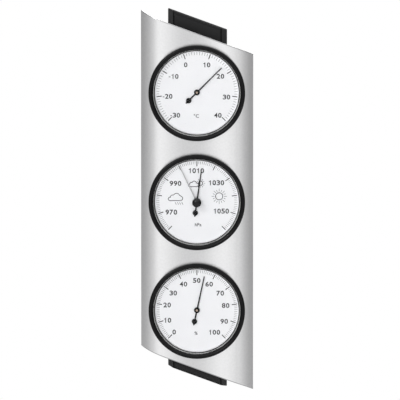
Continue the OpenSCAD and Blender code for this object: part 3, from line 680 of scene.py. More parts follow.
def linked(name: str, data: Any) -> bpy.types.Object:
    """Makes an object and puts it into the scene.

    Args:
        name: The object's name.
        data: Its mesh, curve, lamp or camera.

    Returns:
        The object.
    """
    made = bpy.data.objects.new(name, data)
    bpy.context.scene.collection.objects.link(made)
    return made


def evaluated(made: bpy.types.Object) -> bpy.types.Mesh:
    """The mesh of a text or of an object with its modifiers."""
    bpy.context.view_layer.update()
    return bpy.data.meshes.new_from_object(made.evaluated_get(bpy.context.evaluated_depsgraph_get()))


def clean(made: bpy.types.Object, sharp: float) -> None:
    """Merges doubles, turns the faces outwards and sets smooth shading with sharp edges.

    Args:
        made: The object.
        sharp: Angle over which an edge stays sharp, in degrees.
    """
    work = bmesh.new()
    work.from_mesh(made.data)
    bmesh.ops.remove_doubles(work, verts=work.verts, dist=DOUBLES_WITHIN)
    bmesh.ops.dissolve_degenerate(work, edges=work.edges, dist=NO_LENGTH)
    bmesh.ops.recalc_face_normals(work, faces=work.faces)
    for edge in work.edges:
        edge.smooth = len(edge.link_faces) == 2 and edge.calc_face_angle(0.0) < math.radians(sharp)
    for face in work.faces:
        face.smooth = True
    work.to_mesh(made.data)
    work.free()


def bored(made: bpy.types.Object, cutter: bpy.types.Object, sharp: float) -> None:
    """Takes a cutter out of an object and removes the cutter.

    Args:
        made: The object.
        cutter: What is cut out of it.
        sharp: Angle over which an edge stays sharp, in degrees.
    """
    boolean = made.modifiers.new("bore", "BOOLEAN")
    boolean.operation = "DIFFERENCE"
    boolean.solver = "EXACT"
    boolean.object = cutter
    result = evaluated(made)
    made.modifiers.clear()
    made.data = result
    bpy.data.objects.remove(cutter)
    clean(made, sharp)


def clockwise(x: Any, y: Any, turn: Any) -> tuple[Any, Any]:
    """The point (x, y) turned clockwise by t degrees: (x cos t + y sin t, y cos t - x sin t)."""
    t = np.radians(turn)
    return x * np.cos(t) + y * np.sin(t), y * np.cos(t) - x * np.sin(t)


@dataclass
class Mesh:
    """Points and faces of one surface, in millimetres: x right, y up and d away from the wall."""

    points: np.ndarray
    faces: np.ndarray | list[list[int]]

    @staticmethod
    def joined(parts: Sequence["Mesh"]) -> "Mesh":
        """Several surfaces as one.

        Args:
            parts: The surfaces, all with faces of four corners.

        Returns:
            The joined surface.
        """
        starts = np.cumsum([0] + [len(p.points) for p in parts[:-1]])
        return Mesh(np.vstack([p.points for p in parts]),
                    np.vstack([p.faces + s for p, s in zip(parts, starts)]))

    def turned(self, angle: float) -> "Mesh":
        """The surface turned clockwise about its dial's axis, by an angle in degrees."""
        x, y, d = self.points.T
        return Mesh(np.stack([*clockwise(x, y, angle), d], -1), self.faces)

    def to_object(self, name: str, rise: float = 0.0, sharp: float = SHARP) -> bpy.types.Object:
        """Puts the surface into Blender, in metres and in the part's frame.

        A point (x, y, d) becomes (x, -d, y + rise).

        Args:
            name: The object's name.
            rise: Height of the surface's origin.
            sharp: Angle over which an edge stays sharp, in degrees.

        Returns:
            The object.
        """
        x, y, d = self.points.T
        faces = self.faces.tolist() if isinstance(self.faces, np.ndarray) else self.faces
        data = bpy.data.meshes.new(name)
        data.from_pydata((np.stack([x, -d, y + rise], -1) * MM).tolist(), [], faces)
        made = linked(name, data)
        clean(made, sharp)
        return made


def grid_faces(rows: int, columns: int, wrap_rows: bool, wrap_columns: bool) -> np.ndarray:
    """Quads of a grid of points.

    Args:
        rows: Number of rows of points.
        columns: Number of points in a row.
        wrap_rows: Whether the last row joins the first.
        wrap_columns: Whether each row closes on itself.

    Returns:
        An array of point numbers, four for each face.
    """
    i, j = np.meshgrid(np.arange(rows if wrap_rows else rows - 1),
                       np.arange(columns if wrap_columns else columns - 1), indexing="ij")
    i2, j2 = (i + 1) % rows, (j + 1) % columns
    return np.stack([i * columns + j, i * columns + j2, i2 * columns + j2, i2 * columns + j], -1).reshape(-1, 4)


def arc(centre: Place, radius: float, start: float, end: float, steps: int = 8) -> np.ndarray:
    """Points on an arc, from the start to the end angle in degrees."""
    angle = np.radians(np.linspace(start, end, steps + 1))
    return np.stack([centre[0] + radius * np.cos(angle), centre[1] + radius * np.sin(angle)], -1)


def section(inner: float, outer: float, back: float, front: float, back_cut: float = 0.0,
            front_cut: float = 0.0) -> np.ndarray:
    """A ring's section, with its outer corners cut off at 45 degrees.

    Args:
        inner: Inner radius.
        outer: Outer radius.
        back: Distance of its back from the wall.
        front: Distance of its front from the wall.
        back_cut: Width of the cut at the back.
        front_cut: Width of the cut at the front.

    Returns:
        Rows of radius and distance from the wall.
    """
    return np.array([[inner, back], [outer - back_cut, back], [outer, back + back_cut],
                     [outer, front - front_cut], [outer - front_cut, front], [inner, front]])


def revolved(profile: np.ndarray, centre: Place = (0.0, 0.0), steps: int = 192) -> Mesh:
    """Turns a profile round a dial's axis.

    The point at angle a of profile point (r, d) is (r cos a, r sin a, d). A profile that starts on
    the axis also ends there, and its ends become poles; any other one is closed.

    Args:
        profile: Rows of radius and distance from the wall, in order round the profile.
        centre: The axis in x and y.
        steps: Number of steps round.

    Returns:
        The closed surface.
    """
    angle = np.linspace(0.0, 2.0 * np.pi, steps, endpoint=False)
    r, d = profile[:, 0], profile[:, 1]
    x = centre[0] + np.outer(r, np.cos(angle))
    y = centre[1] + np.outer(r, np.sin(angle))
    points = np.stack([x, y, np.repeat(d[:, None], steps, 1)], -1).reshape(-1, 3)
    return Mesh(points, grid_faces(len(profile), steps, r[0] > 0.0, True))


def blade(along: np.ndarray, half: np.ndarray, back: float, front: float, bevel: float) -> Mesh:
    """A flat bar along y whose width changes and whose front edges are bevelled.

    The section at y has half width w(y): its back corners are (-w, back) and (w, back), its front
    corners are moved in by the bevel, which is never more than 0.45 w.

    Args:
        along: The places of the sections.
        half: Half the bar's width at each section.
        back: Distance of its back from the wall.
        front: Distance of its front from the wall.
        bevel: Width and height of the bevel.

    Returns:
        The closed bar.
    """
    cut = np.minimum(bevel, 0.45 * half)
    back_row, front_row = np.full_like(half, back), np.full_like(half, front)
    across = np.stack([-half, -half, cut - half, half - cut, half, half], 1)
    deep = np.stack([back_row, front_row - cut, front_row, front_row, front_row - cut, back_row], 1)
    points = np.stack([across, np.repeat(along[:, None], 6, 1), deep], -1).reshape(-1, 3)
    last = 6 * (len(along) - 1)
    ends = np.array([[0, 1, 4, 5], [1, 2, 3, 4], [last + 5, last + 4, last + 1, last],
                     [last + 4, last + 3, last + 2, last + 1]])
    return Mesh(points, np.vstack([grid_faces(len(along), 6, False, True), ends]))


# Height of a capital and of a figure, and places of a figure in its cell, as shares of the type's size.
CAPITAL_HEIGHT = 0.729
FIGURE_HEIGHT = 0.709
FIGURE_WIDTH = 0.48
FIGURE_CELL = 0.556
FIGURE_START = 0.038
MINUS_CELL = 0.333
OUTLINES = {
    "1": ((0.252, 0.0), (0.37, 0.0), (0.37, 0.709), (0.28, 0.709), (0.252, 0.63), (0.19, 0.58),
          (0.09, 0.565), (0.09, 0.485), (0.252, 0.485)),
    "-": ((0.045, 0.225), (0.29, 0.225), (0.29, 0.325), (0.045, 0.325)),
}


def prism(outline: Sequence[Place]) -> Mesh:
    """A flat outline, with its corners anticlockwise, made 1 thick, from -0.5 to 0.5.

    Args:
        outline: Its corners.

    Returns:
        The closed surface.
    """
    flat, count = np.array(outline), len(outline)
    points = np.vstack([np.column_stack([flat, np.full(count, d)]) for d in (-0.5, 0.5)])
    sides = [[i, (i + 1) % count, count + (i + 1) % count, count + i] for i in range(count)]
    return Mesh(points, [list(range(count))[::-1], list(range(count, 2 * count))] + sides)


def lettering(words: str, weight: float) -> Mesh:
    """Blender's own type as a surface, with capitals 1 high and 1 thick.

    Args:
        words: What is written.
        weight: How much the strokes are thickened, as a share of the type's size.

    Returns:
        The closed surface.
    """
    text = bpy.data.curves.new(words, "FONT")
    text.body = words
    text.resolution_u = 4
    text.offset = weight
    text.extrude = 0.5
    source = linked(words, text)
    data = evaluated(source)
    points = np.empty(len(data.vertices) * 3)
    data.vertices.foreach_get("co", points)
    faces = [list(face.vertices) for face in data.polygons]
    bpy.data.objects.remove(source)
    bpy.data.curves.remove(text)
    bpy.data.meshes.remove(data)
    return Mesh(points.reshape(-1, 3) / (CAPITAL_HEIGHT, CAPITAL_HEIGHT, 1.0), faces)


def figures(words: str, weight: float) -> Mesh:
    """A number in cells of one width, with figures 1 high and 1 thick.

    The 1 and the minus are drawn from their outlines; any other figure is Blender's own, fitted to
    the cell: its place is the start plus the width times its share of its own width.

    Args:
        words: The number.
        weight: How much the strokes are thickened, as a share of the type's size.

    Returns:
        The closed surfaces as one.
    """
    pen, points, faces = 0.0, np.empty((0, 3)), []
    for figure in words:
        if figure in OUTLINES:
            shape = prism(OUTLINES[figure])
        else:
            shape = lettering(figure, weight)
            share = (shape.points - shape.points.min(0)) / np.ptp(shape.points, 0)
            shape.points = np.column_stack([FIGURE_START + share[:, 0] * FIGURE_WIDTH, share[:, 1] * FIGURE_HEIGHT,
                                            shape.points[:, 2]])
        faces += [[len(points) + number for number in ring] for ring in shape.faces]
        points = np.vstack([points, shape.points + (pen, 0.0, 0.0)])
        pen += MINUS_CELL if figure == "-" else FIGURE_CELL
    return Mesh(points / (FIGURE_HEIGHT, FIGURE_HEIGHT, 1.0), faces)


# The palette


class Palette:
    """Every finish of the station, by the record's slot names."""

    def __init__(self) -> None:
        """Builds the materials once."""
        finishes = [
            PlateSteel(),
            FoldedPaint("frame_black", (0.021, 0.021, 0.0215), (0.027, 0.027, 0.028), gloss=0.1),
            Paint("case_black", (0.016, 0.016, 0.017), (0.03, 0.03, 0.032)),
            GlossBlack("bezel_black"),
            ClearGlass("clear_glass"),
            SoftSeal("seal_pale", (0.5, 0.5, 0.495)),
            TwoToneRing("ring_black", rim=(0.012, 0.012, 0.012), wall=(0.8, 0.8, 0.8), level=0.0329),
            Enamel("dial_white", (0.877, 0.88, 0.895), (0.865, 0.868, 0.885)),
            Paint("pointer_black", (0.004, 0.004, 0.0045), (0.008, 0.008, 0.008), roughness=0.36, peel=2500.0,
                  depth=0.000004, gloss=0.1),
            BrushedMetal("steel", (0.62, 0.62, 0.62), roughness=0.32, marks=1500.0, contrast=0.08),
            Paint("sleeve_black", (0.02, 0.02, 0.02), (0.04, 0.04, 0.04), roughness=0.6),
            TurnedMetal("brass", (0.78, 0.60, 0.30), (0.55, 0.38, 0.17)),
            BrushedMetal("bimetal", (0.72, 0.56, 0.38), roughness=0.34, marks=1500.0, contrast=0.1,
                         grain=Grain.ALONG_Y),
            TurnedMetal("capsule_bronze", (0.76, 0.66, 0.44), (0.56, 0.46, 0.28), roughness=0.34,
                        centre=(0.002, 0.0, -0.15177)),
            BrushedMetal("spring_blue", (0.16, 0.22, 0.38), roughness=0.25, marks=1800.0, contrast=0.1,
                         grain=Grain.ALONG_Y),
            BrushedMetal("hand_grey", (0.5, 0.5, 0.505), roughness=0.36, marks=1800.0, contrast=0.05),
            GlossBlack("knob_black", (0.003, 0.003, 0.0035), (0.007, 0.007, 0.0075), roughness=0.12, gloss=0.28),
            Paint("hygro_strip", (0.52, 0.40, 0.24), (0.62, 0.50, 0.33), roughness=0.6, peel=1600.0, depth=0.00002),
        ]
        self.by_slot = {finish.name: finish.material() for finish in finishes}
        self.arbor = TurnedMetal("arbor_bronze", (0.46, 0.37, 0.30), (0.26, 0.20, 0.15), roughness=0.4).material()
        self.ink = Ink("print_black", (0.015, 0.015, 0.017), (0.03, 0.03, 0.032)).material()
        self.thin_ink = Ink("print_grey", (0.12, 0.12, 0.125), (0.18, 0.18, 0.185)).material()

    def __getitem__(self, slot: str) -> bpy.types.Material:
        """The material of a slot."""
        return self.by_slot[slot]


def dress(made: bpy.types.Object, material: bpy.types.Material) -> None:
    """Gives an object one material."""
    made.data.materials.clear()
    made.data.materials.append(material)


def dress_cad_nodes(frame: dict[str, Any], palette: Palette) -> None:
    """Gives each CAD node the material of its slot.

    Args:
        palette: The materials.
    """
    for row in frame["record"]["subparts"]:
        made = frame["nodes"].get(row["node"])
        if made is not None:
            arbor = row["node"].endswith("meter_arbor") or row["node"] == "pinion_arbor"
            dress(made, palette.arbor if arbor else palette[row["material_slot"]])
            LOG.info("node %s wears %s", row["node"], row["material_slot"])


# Sub-assemblies


@dataclass
class Assembly:
    """A group of pieces that one palette dresses."""

    palette: Palette

    def add(self, made: bpy.types.Object, slot: str, stands_for: Sequence[str] = (), body: Body = Body.STATION,
            material: bpy.types.Material | None = None) -> None:
        """Dresses a piece, hangs it on its body and hides the CAD nodes that it replaces.

        Args:
            made: The object.
            slot: The record's material slot.
            stands_for: The CAD nodes that it replaces.
            body: The body that it rides on.
            material: Its material, where that isn't the slot's own.
        """
        dress(made, material or self.palette[slot])
        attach(made, body.value)
        if stands_for:
            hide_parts(*stands_for)
        LOG.info("piece %s: %d faces on %s", made.name, len(made.data.polygons), body.value)


@dataclass
class Carrier(Assembly):
    """The bent plate."""

    width: float = 100.0
    height: float = 302.0
    thickness: float = 1.0
    bend_radius: float = 27.0
    bend_angle: float = 56.0
    slant: float = 20.0
    front: float = 32.0
    middle: float = -140.0
    pitch: float = 98.0
    hole: float = 40.0
    edge: float = 0.22
    sharp: float = 50.0
    rows: int = 32
    across_points: int = 73
    upright_points: int = 61

    def flat_half(self) -> float:
        """Half the width of the flat middle."""
        return self.width / 2.0 - self.bend_radius * math.sin(math.radians(self.bend_angle))

    def bend(self, x: np.ndarray) -> tuple[np.ndarray, np.ndarray, np.ndarray]:
        """The sheet's front at a distance x from the middle line.

        Past the flat part the sheet follows a circle: the turn is asin((|x| - flat) / radius), the
        drop is radius (1 - cos turn) and the way along the sheet is flat + radius times turn.

        Args:
            x: Distances from the middle line.

        Returns:
            The drop behind the front, the turn of the normal and the way along the sheet.
        """
        flat = self.flat_half()
        turn = np.arcsin(np.clip((np.abs(x) - flat) / self.bend_radius, 0.0, 1.0))
        along = np.where(np.abs(x) > flat, flat + self.bend_radius * turn, np.abs(x))
        return self.bend_radius * (1.0 - np.cos(turn)), np.sign(x) * turn, np.sign(x) * along

    def end_line(self, x: np.ndarray, side: int) -> np.ndarray:
        """Height of the slanted end at x: the middle line's end less tan(slant) times the way along."""
        return self.middle + side * self.height / 2.0 - math.tan(math.radians(self.slant)) * self.bend(x)[2]

    def cell(self, index: int) -> Mesh:
        """The sheet round one hole.

        Rays run from the hole's edge to the cell's rim. At each ray a closed section goes out along
        the front, round the rim and back along the rear, so the cell is a tube round the hole.

        Args:
            index: 0 for the top hole, 1 for the middle and 2 for the bottom one.

        Returns:
            The cell, open where it meets its neighbours.
        """
        centre = self.middle + self.pitch * (1 - index)
        half = self.width / 2.0
        across = half * np.sin(np.linspace(-np.pi / 2, np.pi / 2, self.across_points))
        upright = np.linspace(0.0, 1.0, self.upright_points)
        top = self.end_line(across, 1) if index == 0 else np.full_like(across, centre + self.pitch / 2)
        low = self.end_line(across, -1) if index == 2 else np.full_like(across, centre - self.pitch / 2)
        right = np.column_stack([np.full_like(upright, half), low[-1] + (top[-1] - low[-1]) * upright])
        left = np.column_stack([np.full_like(upright, -half), top[0] + (low[0] - top[0]) * upright])
        sides = [right, np.column_stack([across, top])[::-1], left, np.column_stack([across, low])]
        starts = np.cumsum([0] + [len(side) - 1 for side in sides])
        rim = np.vstack([side[:-1] for side in sides])
        shared = np.zeros(len(rim), bool)
        shared[starts[1]:starts[2]] = index != 0
        shared[starts[3]:] = index != 2
        inner = self.rounded_rim(rim, shared | np.roll(shared, 1), centre)
        angle = np.arctan2(rim[:, 1] - centre, rim[:, 0])
        ring = np.column_stack([self.hole * np.cos(angle), centre + self.hole * np.sin(angle)])
        share = np.linspace(0.0, 1.0, self.rows)[None, :, None]
        front = ring[:, None] * (1.0 - share) + inner[:, None] * share
        flat = np.concatenate([front, np.repeat(rim[:, None], 2, 1), front[:, ::-1]], 1)
        depth = np.concatenate([np.zeros(self.rows), [self.edge, self.thickness - self.edge],
                                np.full(self.rows, self.thickness)])
        drop, turn, _ = self.bend(flat[..., 0])
        x = flat[..., 0] - depth * np.sin(turn)
        d = self.front - drop - depth * np.cos(turn)
        points = np.stack([x, flat[..., 1], d], -1).reshape(-1, 3)
        faces = grid_faces(len(rim), len(depth), True, True)
        row, column = np.divmod(np.arange(len(faces)), len(depth))
        wall = (column >= self.rows - 1) & (column <= self.rows + 1) & shared[row]
        return Mesh(points, faces[~wall])

    def rounded_rim(self, rim: np.ndarray, joined: np.ndarray, centre: float) -> np.ndarray:
        """The rim moved in by the rounded edge, except where a cell joins its neighbour.

        A side moves by the edge along the bent sheet, an end by the edge square to its slant.

        Args:
            rim: The rim's points.
            joined: Whether each point lies on a joint with a neighbour.
            centre: Height of the cell's hole.

        Returns:
            The moved points.
        """
        moved = rim.copy()
        at_side = np.isclose(np.abs(rim[:, 0]), self.width / 2.0)
        turn = self.bend(rim[:, 0])[1]
        moved[:, 0] -= np.where(at_side, np.sign(rim[:, 0]) * self.edge * np.cos(turn), 0.0)
        ends = [np.isclose(rim[:, 1], self.end_line(rim[:, 0], side)) for side in (1, -1)]
        at_end = (ends[0] | ends[1]) & ~joined
        lift = self.edge / math.cos(math.radians(self.slant))
        moved[:, 1] -= np.where(at_end, np.sign(rim[:, 1] - centre) * lift, 0.0)
        return moved

    def build(self) -> None:
        """Makes the plate from its three cells."""
        sheet = Mesh.joined([self.cell(index) for index in range(3)])
        self.add(sheet.to_object("plate_sheet", sharp=self.sharp), "brushed_plate", ["front_plate"])


@dataclass
class HangingFrame(Assembly):
    """The black tray that hangs on the wall: slanted closed ends, and sides that lean in to its front.

    The pressed line's rows are how far each is inside the front's edge and how deep it is sunk. The
    foot's rows are side inset, end inset and distance from the wall.
    """

    half: float = 26.25
    depth: float = 11.0
    straight: float = 4.0
    lean: float = 4.6
    wall: float = 2.0
    reach: float = 160.85
    slant: float = 20.0
    middle: float = -140.45
    corner: float = 0.7
    edge: float = 0.8
    side_edge: float = 0.6
    support: float = 0.35
    corner_steps: int = 6
    edge_steps: int = 6
    pressed_line: tuple[Place, ...] = ((0.12, 0.0), (0.3, 0.4), (0.75, 0.4), (0.95, 0.0), (1.3, 0.0))
    side_levels: tuple[float, ...] = (9.8, 7.0, 4.5, 4.15)
    foot: tuple[Point, ...] = ((0.02, 0.0, 3.9), (0.0, 0.0, 3.5), (0.0, 0.0, 0.6), (0.0, 0.0, 0.3),
                               (0.09, 0.09, 0.09), (0.3, 0.3, 0.0))
    rounding: float = 0.3
    knee_rounding: Place = (0.2, 0.25)
    sharp: float = 50.0
    access_radius: float = 3.6
    access_places: tuple[Place, ...] = ((2.0, -151.77), (0.0, -238.0))

    def loop(self, side: float, end: float, d: float) -> np.ndarray:
        """One ring round the frame, with rounded corners.

        A corner's centre is where the side and the slanted end would meet if both were moved in by
        their insets and the corner's radius; its points are the centre plus the radius times (cos a,
        sin a), for a from the one edge's normal to the other's.

        Args:
            side: How far the sides are moved in.
            end: How far the ends are moved in.
            d: Distance of the ring from the wall.

        Returns:
            Its points, anticlockwise from the top left corner.
        """
        tilt = math.radians(self.slant)
        turns = [(-1, 1, 90.0 - self.slant, 180.0), (-1, -1, 180.0, 270.0 - self.slant),
                 (1, -1, 270.0 - self.slant, 360.0), (1, 1, 360.0, 450.0 - self.slant)]
        corners = []
        for across, up, start, stop in turns:
            x = across * (self.half - side - self.corner)
            y = self.middle + up * (self.reach - (end + self.corner) / math.cos(tilt)) - math.tan(tilt) * x
            corners.append(arc((x, y), self.corner, start, stop, self.corner_steps))
        ring = np.vstack(corners)
        return np.column_stack([ring, np.full(len(ring), d)])

    def leaning(self, d: float) -> float:
        """How far the side has leaned in at a distance from the wall."""
        return self.lean * max(0.0, d - self.straight) / (self.depth - self.straight)

    def levels(self) -> list[Point]:
        """Side inset, end inset and distance from the wall of each ring, from the front round to the inside.

        The front edge is a quarter round: at angle a its end inset is edge (1 - cos a) and its distance
        is the depth less edge (1 - sin a). A pressed line runs round the front just inside it. The
        inside follows the outside one wall further in.

        Returns:
            The levels.
        """
        rows = []
        for a in np.radians(np.linspace(90.0, 0.0, self.edge_steps + 1)):
            d = self.depth - self.edge * (1.0 - math.sin(a))
            inset = self.edge * (1.0 - math.cos(a))
            rows.append((self.leaning(d) + self.side_edge * inset, inset, d))
        side, end, _ = rows[0]
        for inset, sunk in self.pressed_line:
            rows.insert(0, (side + inset, end + inset, self.depth - sunk))
        rows += [(self.leaning(d), 0.0, d) for d in self.side_levels]
        wall, ceiling = self.wall, self.depth - self.wall
        ease = self.rounding
        rows += [*self.foot, (wall - ease, wall - ease, 0.0), (wall, wall, ease)]
        lean = math.atan2(self.lean, self.depth - self.straight)
        knee = self.straight - wall * math.tan(lean / 2.0)
        last = self.lean + wall * math.tan(math.pi / 4.0 - lean / 2.0)
        across, up = self.knee_rounding
        return rows + [(wall, wall, knee - ease), (wall + across, wall, knee + up), (last, wall, ceiling),
                       (last + self.support, wall + self.support, ceiling)]

    def tray(self) -> Mesh:
        """The whole tray: rings, and a ladder of faces across its front and another across its inside.

        Returns:
            The closed surface.
        """
        rings = [self.loop(*level) for level in self.levels()]
        count = len(rings[0])
        walls = grid_faces(len(rings), count, False, True)
        i = np.arange(count // 2 - 1)
        ladder = np.stack([i, i + 1, count - 2 - i, count - 1 - i], -1)
        inside = ladder[:, ::-1] + count * (len(rings) - 1)
        return Mesh(np.vstack(rings), np.vstack([walls, ladder, inside]))

    def build(self) -> None:
        """Makes the frame, with the two holes through which the adjusters are reached."""
        made = self.tray().to_object("frame_tray", sharp=self.sharp)
        bore = section(0.0, self.access_radius, self.depth - self.wall - 1.0, self.depth + 1.0)
        for number, place in enumerate(self.access_places):
            bored(made, revolved(bore, place, 96).to_object(f"bore_{number}"), self.sharp)
        self.add(made, "frame_black", ["frame_front", "frame_sides", "frame_ends"])


@dataclass
class Instrument(Assembly):
    """One round instrument: bezel, glass, seal, spacer ring, dial, printed scale and pointer."""

    name: str
    rise: float
    low: float
    high: float
    reading: float
    body: Body
    numbers: dict[str, Place]
    number_height: float
    unit: str
    unit_place: Place
    unit_height: float
    bezel_radius: float = 43.0
    opening: float = 38.8
    back: float = 32.0
    crown: float = 1.7
    slope: float = 38.0
    lip: float = 0.3
    lip_drop: float = 0.45
    bezel_cut: float = 0.15
    bezel_front: float = 37.2
    glass_front: float = 34.8
    glass_back: float = 33.3
    glass_radius: float = 41.5
    glass_bore: float = 0.0
    glass_cut: float = 0.15
    flange_radius: float = 41.81
    seal_back: float = 33.0
    seal_inside: float = 38.2
    spacer_outside: float = 37.8
    spacer_foot: float = 37.15
    spacer_mouth: float = 37.35
    spacer_ease: float = 0.12
    dial_radius: float = 37.8
    dial_front: float = 28.8
    dial_back: float = 28.0
    dial_hole: float = 1.6
    dial_cut: float = 0.08
    ring_sharp: float = 38.0
    scale_radius: float = 36.1
    major_step: float = 10.0
    major_length: float = 4.6
    minor_length: float = 2.7
    major_width: float = 0.78
    minor_width: float = 0.3
    number_weight: float = 0.024
    unit_weight: float = 0.012
    stretch: float = 1.05
    needle_length: float = 31.2
    needle_start: float = -7.6
    needle_root: float = 1.3
    needle_tip: float = 0.85
    needle_back: float = 30.0
    needle_front: float = 30.4
    needle_bevel: float = 0.12
    tail_reach: float = 10.3
    tail_radius: float = 2.4
    tail_point: float = 14.0
    tail_point_half: float = 0.25
    tail_root: float = 0.8
    tail_root_half: float = 0.47
    hub_radius: float = 2.6
    hub_back: float = 29.3
    hub_front: float = 30.8
    hub_bore: float = 1.0
    hub_foot_cut: float = 0.15
    hub_chamfer: tuple[Place, ...] = ((0.0, 0.35), (0.12, 0.12), (0.4, 0.0))

    def turn_of(self, value: float | np.ndarray) -> Any:
        """Clockwise angle of a value on the scale, from the dial's top."""
        return ((value - self.low) / (self.high - self.low) - 0.5) * SWEEP

    def bezel_profile(self) -> np.ndarray:
        """The bezel's section: skirt, rounded crown, slope down to the opening and a rounded lip.

        Returns:
            Rows of radius and distance from the wall.
        """
        crown = (self.bezel_radius - self.crown, self.bezel_front - self.crown)
        outer = arc(crown, self.crown, 0.0, 90.0 + self.slope, 18)
        fall = math.tan(math.radians(self.slope))
        low = outer[-1][1] - (outer[-1][0] - self.opening) * fall
        lip = (self.opening + self.lip, low - self.lip * self.lip_drop)
        edge = arc(lip, self.lip, 90.0 + self.slope, 180.0, 5)
        rest = [[self.opening, self.glass_front], [self.flange_radius, self.glass_front],
                [self.flange_radius, self.back], [self.bezel_radius - self.bezel_cut, self.back],
                [self.bezel_radius, self.back + self.bezel_cut]]
        return np.vstack([outer, edge, rest])

    def seal_profile(self) -> np.ndarray:
        """The pale seal's section: flat, with a rounded inner edge.

        Returns:
            Rows of radius and distance from the wall.
        """
        half = (self.glass_back - self.seal_back) / 2.0
        nose = arc((self.seal_inside + half, self.seal_back + half), half, 90.0, 270.0, 8)
        return np.vstack([nose, [[self.glass_radius, self.seal_back], [self.glass_radius, self.glass_back]]])

    def spacer_profile(self) -> np.ndarray:
        """The spacer ring's section: a wall that opens towards the glass, with rounded rims.

        Returns:
            Rows of radius and distance from the wall.
        """
        ease, mouth, outside, top = self.spacer_ease, self.spacer_mouth, self.spacer_outside, self.seal_back
        return np.array([[self.spacer_foot, self.dial_front], [outside, self.dial_front],
                         [outside, top - ease / 2.0], [outside - ease / 2.0, top], [mouth + ease, top],
                         [mouth + ease * 0.2, top - ease * 0.3], [mouth - ease * 0.15, top - ease * 1.2]])

    def build_rings(self) -> None:
        """Makes the bezel, glass, seal, spacer ring and dial."""
        glass = section(self.glass_bore, self.glass_radius, self.glass_back, self.glass_front,
                        self.glass_cut, self.glass_cut)[::-1]
        dial = section(self.dial_hole, self.dial_radius, self.dial_back, self.dial_front, 0.0, self.dial_cut)
        rings = [("bezel", "bezel_ring", self.bezel_profile(), "bezel_black"),
                 ("glass", "pane", glass, "clear_glass"),
                 ("glass_seal", "seal", self.seal_profile(), "seal_pale"),
                 ("spacer_ring", "spacer", self.spacer_profile(), "ring_black"),
                 ("dial", "dial_face", dial, "dial_white")]
        for node, label, profile, slot in rings:
            made = revolved(profile).to_object(f"{self.name}_{label}", self.rise, self.ring_sharp)
            self.add(made, slot, [f"{self.name}_{node}"])

    def needle(self) -> Mesh:
        """The pointer's flat part.

        Its half width at y is the greatest of the needle's straight taper, the tail's strip, the
        tail disc's root (r^2 - (y - y0)^2) and the straight sides that run from the disc to a point.

        Returns:
            The bar, pointing up.
        """
        swing = -self.tail_reach + self.tail_radius * np.sin(np.linspace(-np.pi / 2, np.pi / 2, 41))
        root = self.tail_reach + self.tail_radius * self.tail_root
        point = np.linspace(-self.tail_point, -root, 8)
        needle = np.linspace(self.needle_start, self.needle_length, 24)
        y = np.unique(np.concatenate([point, swing, needle]).round(4))
        taper = self.needle_root + (self.needle_tip - self.needle_root) * np.clip(y, 0.0, None) / self.needle_length
        strip = np.where(y >= -self.tail_reach, taper / 2.0, 0.0)
        disc = np.sqrt(np.clip(self.tail_radius ** 2 - (y + self.tail_reach) ** 2, 0.0, None))
        share = (y + self.tail_point) / (self.tail_point - root)
        widening = self.tail_radius * self.tail_root_half - self.tail_point_half
        side = np.where(share <= 1.0, self.tail_point_half + widening * share, 0.0)
        half = np.maximum.reduce([strip, disc, side])
        return blade(y, half, self.needle_back, self.needle_front, self.needle_bevel)

    def hub(self) -> Mesh:
        """The pointer's hub: a turned disc with a bore, and a chamfer whose points lie in from rim and front.

        Returns:
            The closed surface.
        """
        radius, back, front, cut = self.hub_radius, self.hub_back, self.hub_front, self.hub_foot_cut
        chamfer = [[radius - inwards, front - down] for inwards, down in self.hub_chamfer]
        foot = [[self.hub_bore, back], [radius - cut, back], [radius, back + cut]]
        return revolved(np.array([*foot, *chamfer, [self.hub_bore, front]]), steps=72)

    def build_pointer(self) -> None:
        """Makes the pointer, turned to its reading."""
        mesh = Mesh.joined([self.needle(), self.hub()]).turned(self.turn_of(self.reading))
        self.add(mesh.to_object(self.name + "_hand", self.rise), "pointer_black", [self.name + "_pointer"], self.body)

    def marks(self, values: np.ndarray, length: float, width: float) -> Mesh:
        """Thin boxes from the scale's outer edge inwards, each turned clockwise to its value.

        Args:
            values: The values that are marked.
            length: Length of a mark.
            width: Width of a mark.

        Returns:
            The marks as one surface.
        """
        half, outer, base = width / 2.0, self.scale_radius, self.dial_front + PRINT_GAP
        across = np.tile([-half, half, half, -half], 2)
        outwards = np.tile([outer - length, outer - length, outer, outer], 2)
        x, y = clockwise(across, outwards, self.turn_of(values)[:, None])
        d = np.broadcast_to(np.repeat([base, base + PRINT_THICKNESS], 4), x.shape)
        box = np.array([[3, 2, 1, 0], [4, 5, 6, 7], [0, 1, 5, 4], [1, 2, 6, 5], [2, 3, 7, 6], [3, 0, 4, 7]])
        faces = (box[None] + 8 * np.arange(len(values))[:, None, None]).reshape(-1, 4)
        return Mesh(np.stack([x, y, d], -1).reshape(-1, 3), faces)

    def print_on(self, mesh: Mesh, name: str, ink: bpy.types.Material | None = None) -> None:
        """Puts a print on the dial, in black ink unless another is given."""
        self.add(mesh.to_object(name, self.rise), "dial_white", material=ink or self.palette.ink)

    def build_scale(self) -> None:
        """Prints the scale on the dial."""
        every = np.arange(self.low, self.high + 0.5)
        long = every % self.major_step == 0.0
        self.print_on(self.marks(every[long], self.major_length, self.major_width), self.name + "_major_marks")
        minors = self.marks(every[~long], self.minor_length, self.minor_width)
        self.print_on(minors, self.name + "_minor_marks", self.palette.thin_ink)
        for words, centre in self.numbers.items():
            label = f"{self.name}_number_{words}".replace("-", "minus_")
            self.write(words, centre, self.number_height, self.number_weight, label)
        self.write(self.unit, self.unit_place, self.unit_height, self.unit_weight, self.name + "_unit")

